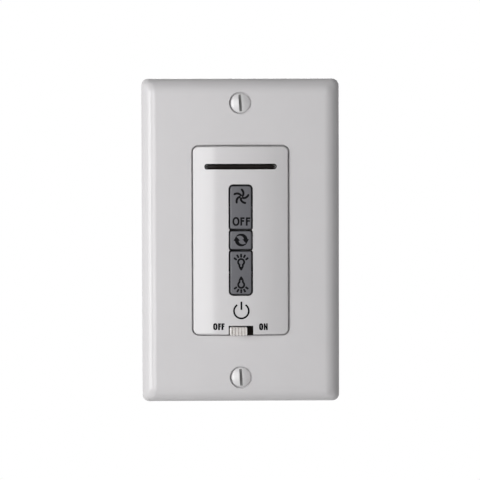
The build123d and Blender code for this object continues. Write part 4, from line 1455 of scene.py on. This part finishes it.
@dataclass
class Studio:
    """The camera of the photograph, soft lamps, a white surround and a pale floor.

    The eye and the sensor are in millimetres, the angles in degrees and the focal length in pixels of the
    frame. The floor and the clip distances are in metres.
    """

    eye: tuple[float, float, float] = (-12.0, -803.4, 31.37)
    pitch: float = -2.239
    yaw: float = 0.845
    roll: float = -0.161
    focal_pixels: float = 2264.1
    frame_pixels: float = 480.0
    sensor: float = 36.0
    clip_start: float = 0.01
    clip_end: float = 50.0
    floor_level: float = -0.8
    floor_radius: float = 3.0
    floor_sides: int = 96
    ambient: float = 0.03
    # Azimuth, elevation, distance, width, height and radiance of each lamp.
    softboxes: tuple[Softbox, ...] = (
        Softbox("near_strip_softbox", -24.5, 2.0, 0.55, 0.184, 0.5, 3.95),
        Softbox("key_softbox", -52.0, 2.0, 0.55, 0.116, 0.5, 6.45),
        Softbox("side_softbox", -64.0, 2.0, 0.55, 0.116, 0.5, 3.7),
        Softbox("front_fill_softbox", 5.0, 8.0, 1.6, 0.7, 0.7, 0.25),
        Softbox("right_fill_softbox", 58.0, -2.0, 1.2, 0.5, 0.8, 1.05),
        Softbox("top_fill_softbox", 0.0, 45.0, 1.2, 0.8, 0.8, 0.15),
        Softbox("low_fill_softbox", 0.0, -45.0, 0.8, 0.64, 0.48, 0.36),
        Softbox("back_fill_softbox", 165.0, 20.0, 1.5, 1.0, 1.0, 2.4),
    )

    def build(self) -> None:
        """Sets up the camera, the lamps, the surround and the floor."""
        scene = bpy.context.scene
        scene.view_settings.view_transform = "Standard"
        self._camera(scene)
        for softbox in self.softboxes:
            softbox.build()
        self._surround(scene)
        self._floor(scene)

    def _camera(self, scene: Scene) -> None:
        """Adds the camera at the photograph's place.

        Args:
            scene: The scene that looks through it.
        """
        pitch, yaw, roll = (math.radians(angle) for angle in (self.pitch, self.yaw, self.roll))
        ahead = math.cos(pitch)
        forward = Vector((math.sin(yaw) * ahead, math.cos(yaw) * ahead, math.sin(pitch)))
        level = Vector((math.cos(yaw), -math.sin(yaw), 0.0))
        upright = level.cross(forward)
        right = math.cos(roll) * level + math.sin(roll) * upright
        above = math.cos(roll) * upright - math.sin(roll) * level
        data = bpy.data.cameras.new("photo_camera")
        data.sensor_width = self.sensor
        data.lens = self.focal_pixels / self.frame_pixels * self.sensor
        data.clip_start = self.clip_start
        data.clip_end = self.clip_end
        camera = bpy.data.objects.new("photo_camera", data)
        turn = Matrix((right, above, -forward)).transposed().to_4x4()
        camera.matrix_world = Matrix.Translation(Vector(self.eye) * MM) @ turn
        scene.collection.objects.link(camera)
        scene.camera = camera

    def _surround(self, scene: Scene) -> None:
        """Makes the surround white to the camera and in reflections, and dimmer as a light.

        Args:
            scene: The scene that gets the surround.
        """
        world = bpy.data.worlds.new("white_surround")
        world.use_nodes = True
        wiring = Wiring(world.node_tree)
        seen = world.node_tree.nodes["Background"]
        wiring.fill(seen, {"Color": WHITE, "Strength": 1.0})
        light = wiring.add("ShaderNodeBackground", {"Color": WHITE, "Strength": self.ambient})
        mix = wiring.add("ShaderNodeMixShader", {
            "Fac": wiring.plain_rays(), 1: light.outputs["Background"], 2: seen.outputs["Background"],
        })
        wiring.fill(world.node_tree.nodes["World Output"], {"Surface": mix.outputs["Shader"]})
        scene.world = world

    def _floor(self, scene: Scene) -> None:
        """Lays a round pale floor well below the part, where it takes the part's shadow.

        Args:
            scene: The scene that gets the floor.
        """
        mesh = bmesh.new()
        bmesh.ops.create_circle(mesh, cap_ends=True, segments=self.floor_sides, radius=self.floor_radius)
        bmesh.ops.translate(mesh, verts=mesh.verts, vec=Vector((0.0, 0.0, self.floor_level)))
        data = bpy.data.meshes.new("floor")
        mesh.to_mesh(data)
        mesh.free()
        data.materials.append(FloorPaint().material())
        floor = bpy.data.objects.new("floor", data)
        scene.collection.objects.link(floor)


def main() -> None:
    """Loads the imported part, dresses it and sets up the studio."""
    logging.basicConfig(level=logging.INFO, format="%(name)s: %(message)s")
    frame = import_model()
    for kind in (WallPlate, MountingStrap, ControlFace, KeyColumn, PowerSlide, Electronics, RearHousing):
        assembly = kind(frame["nodes"])
        assembly.dress()
        assembly.build()
    Studio().build()


if __name__ == "__main__":
    main()
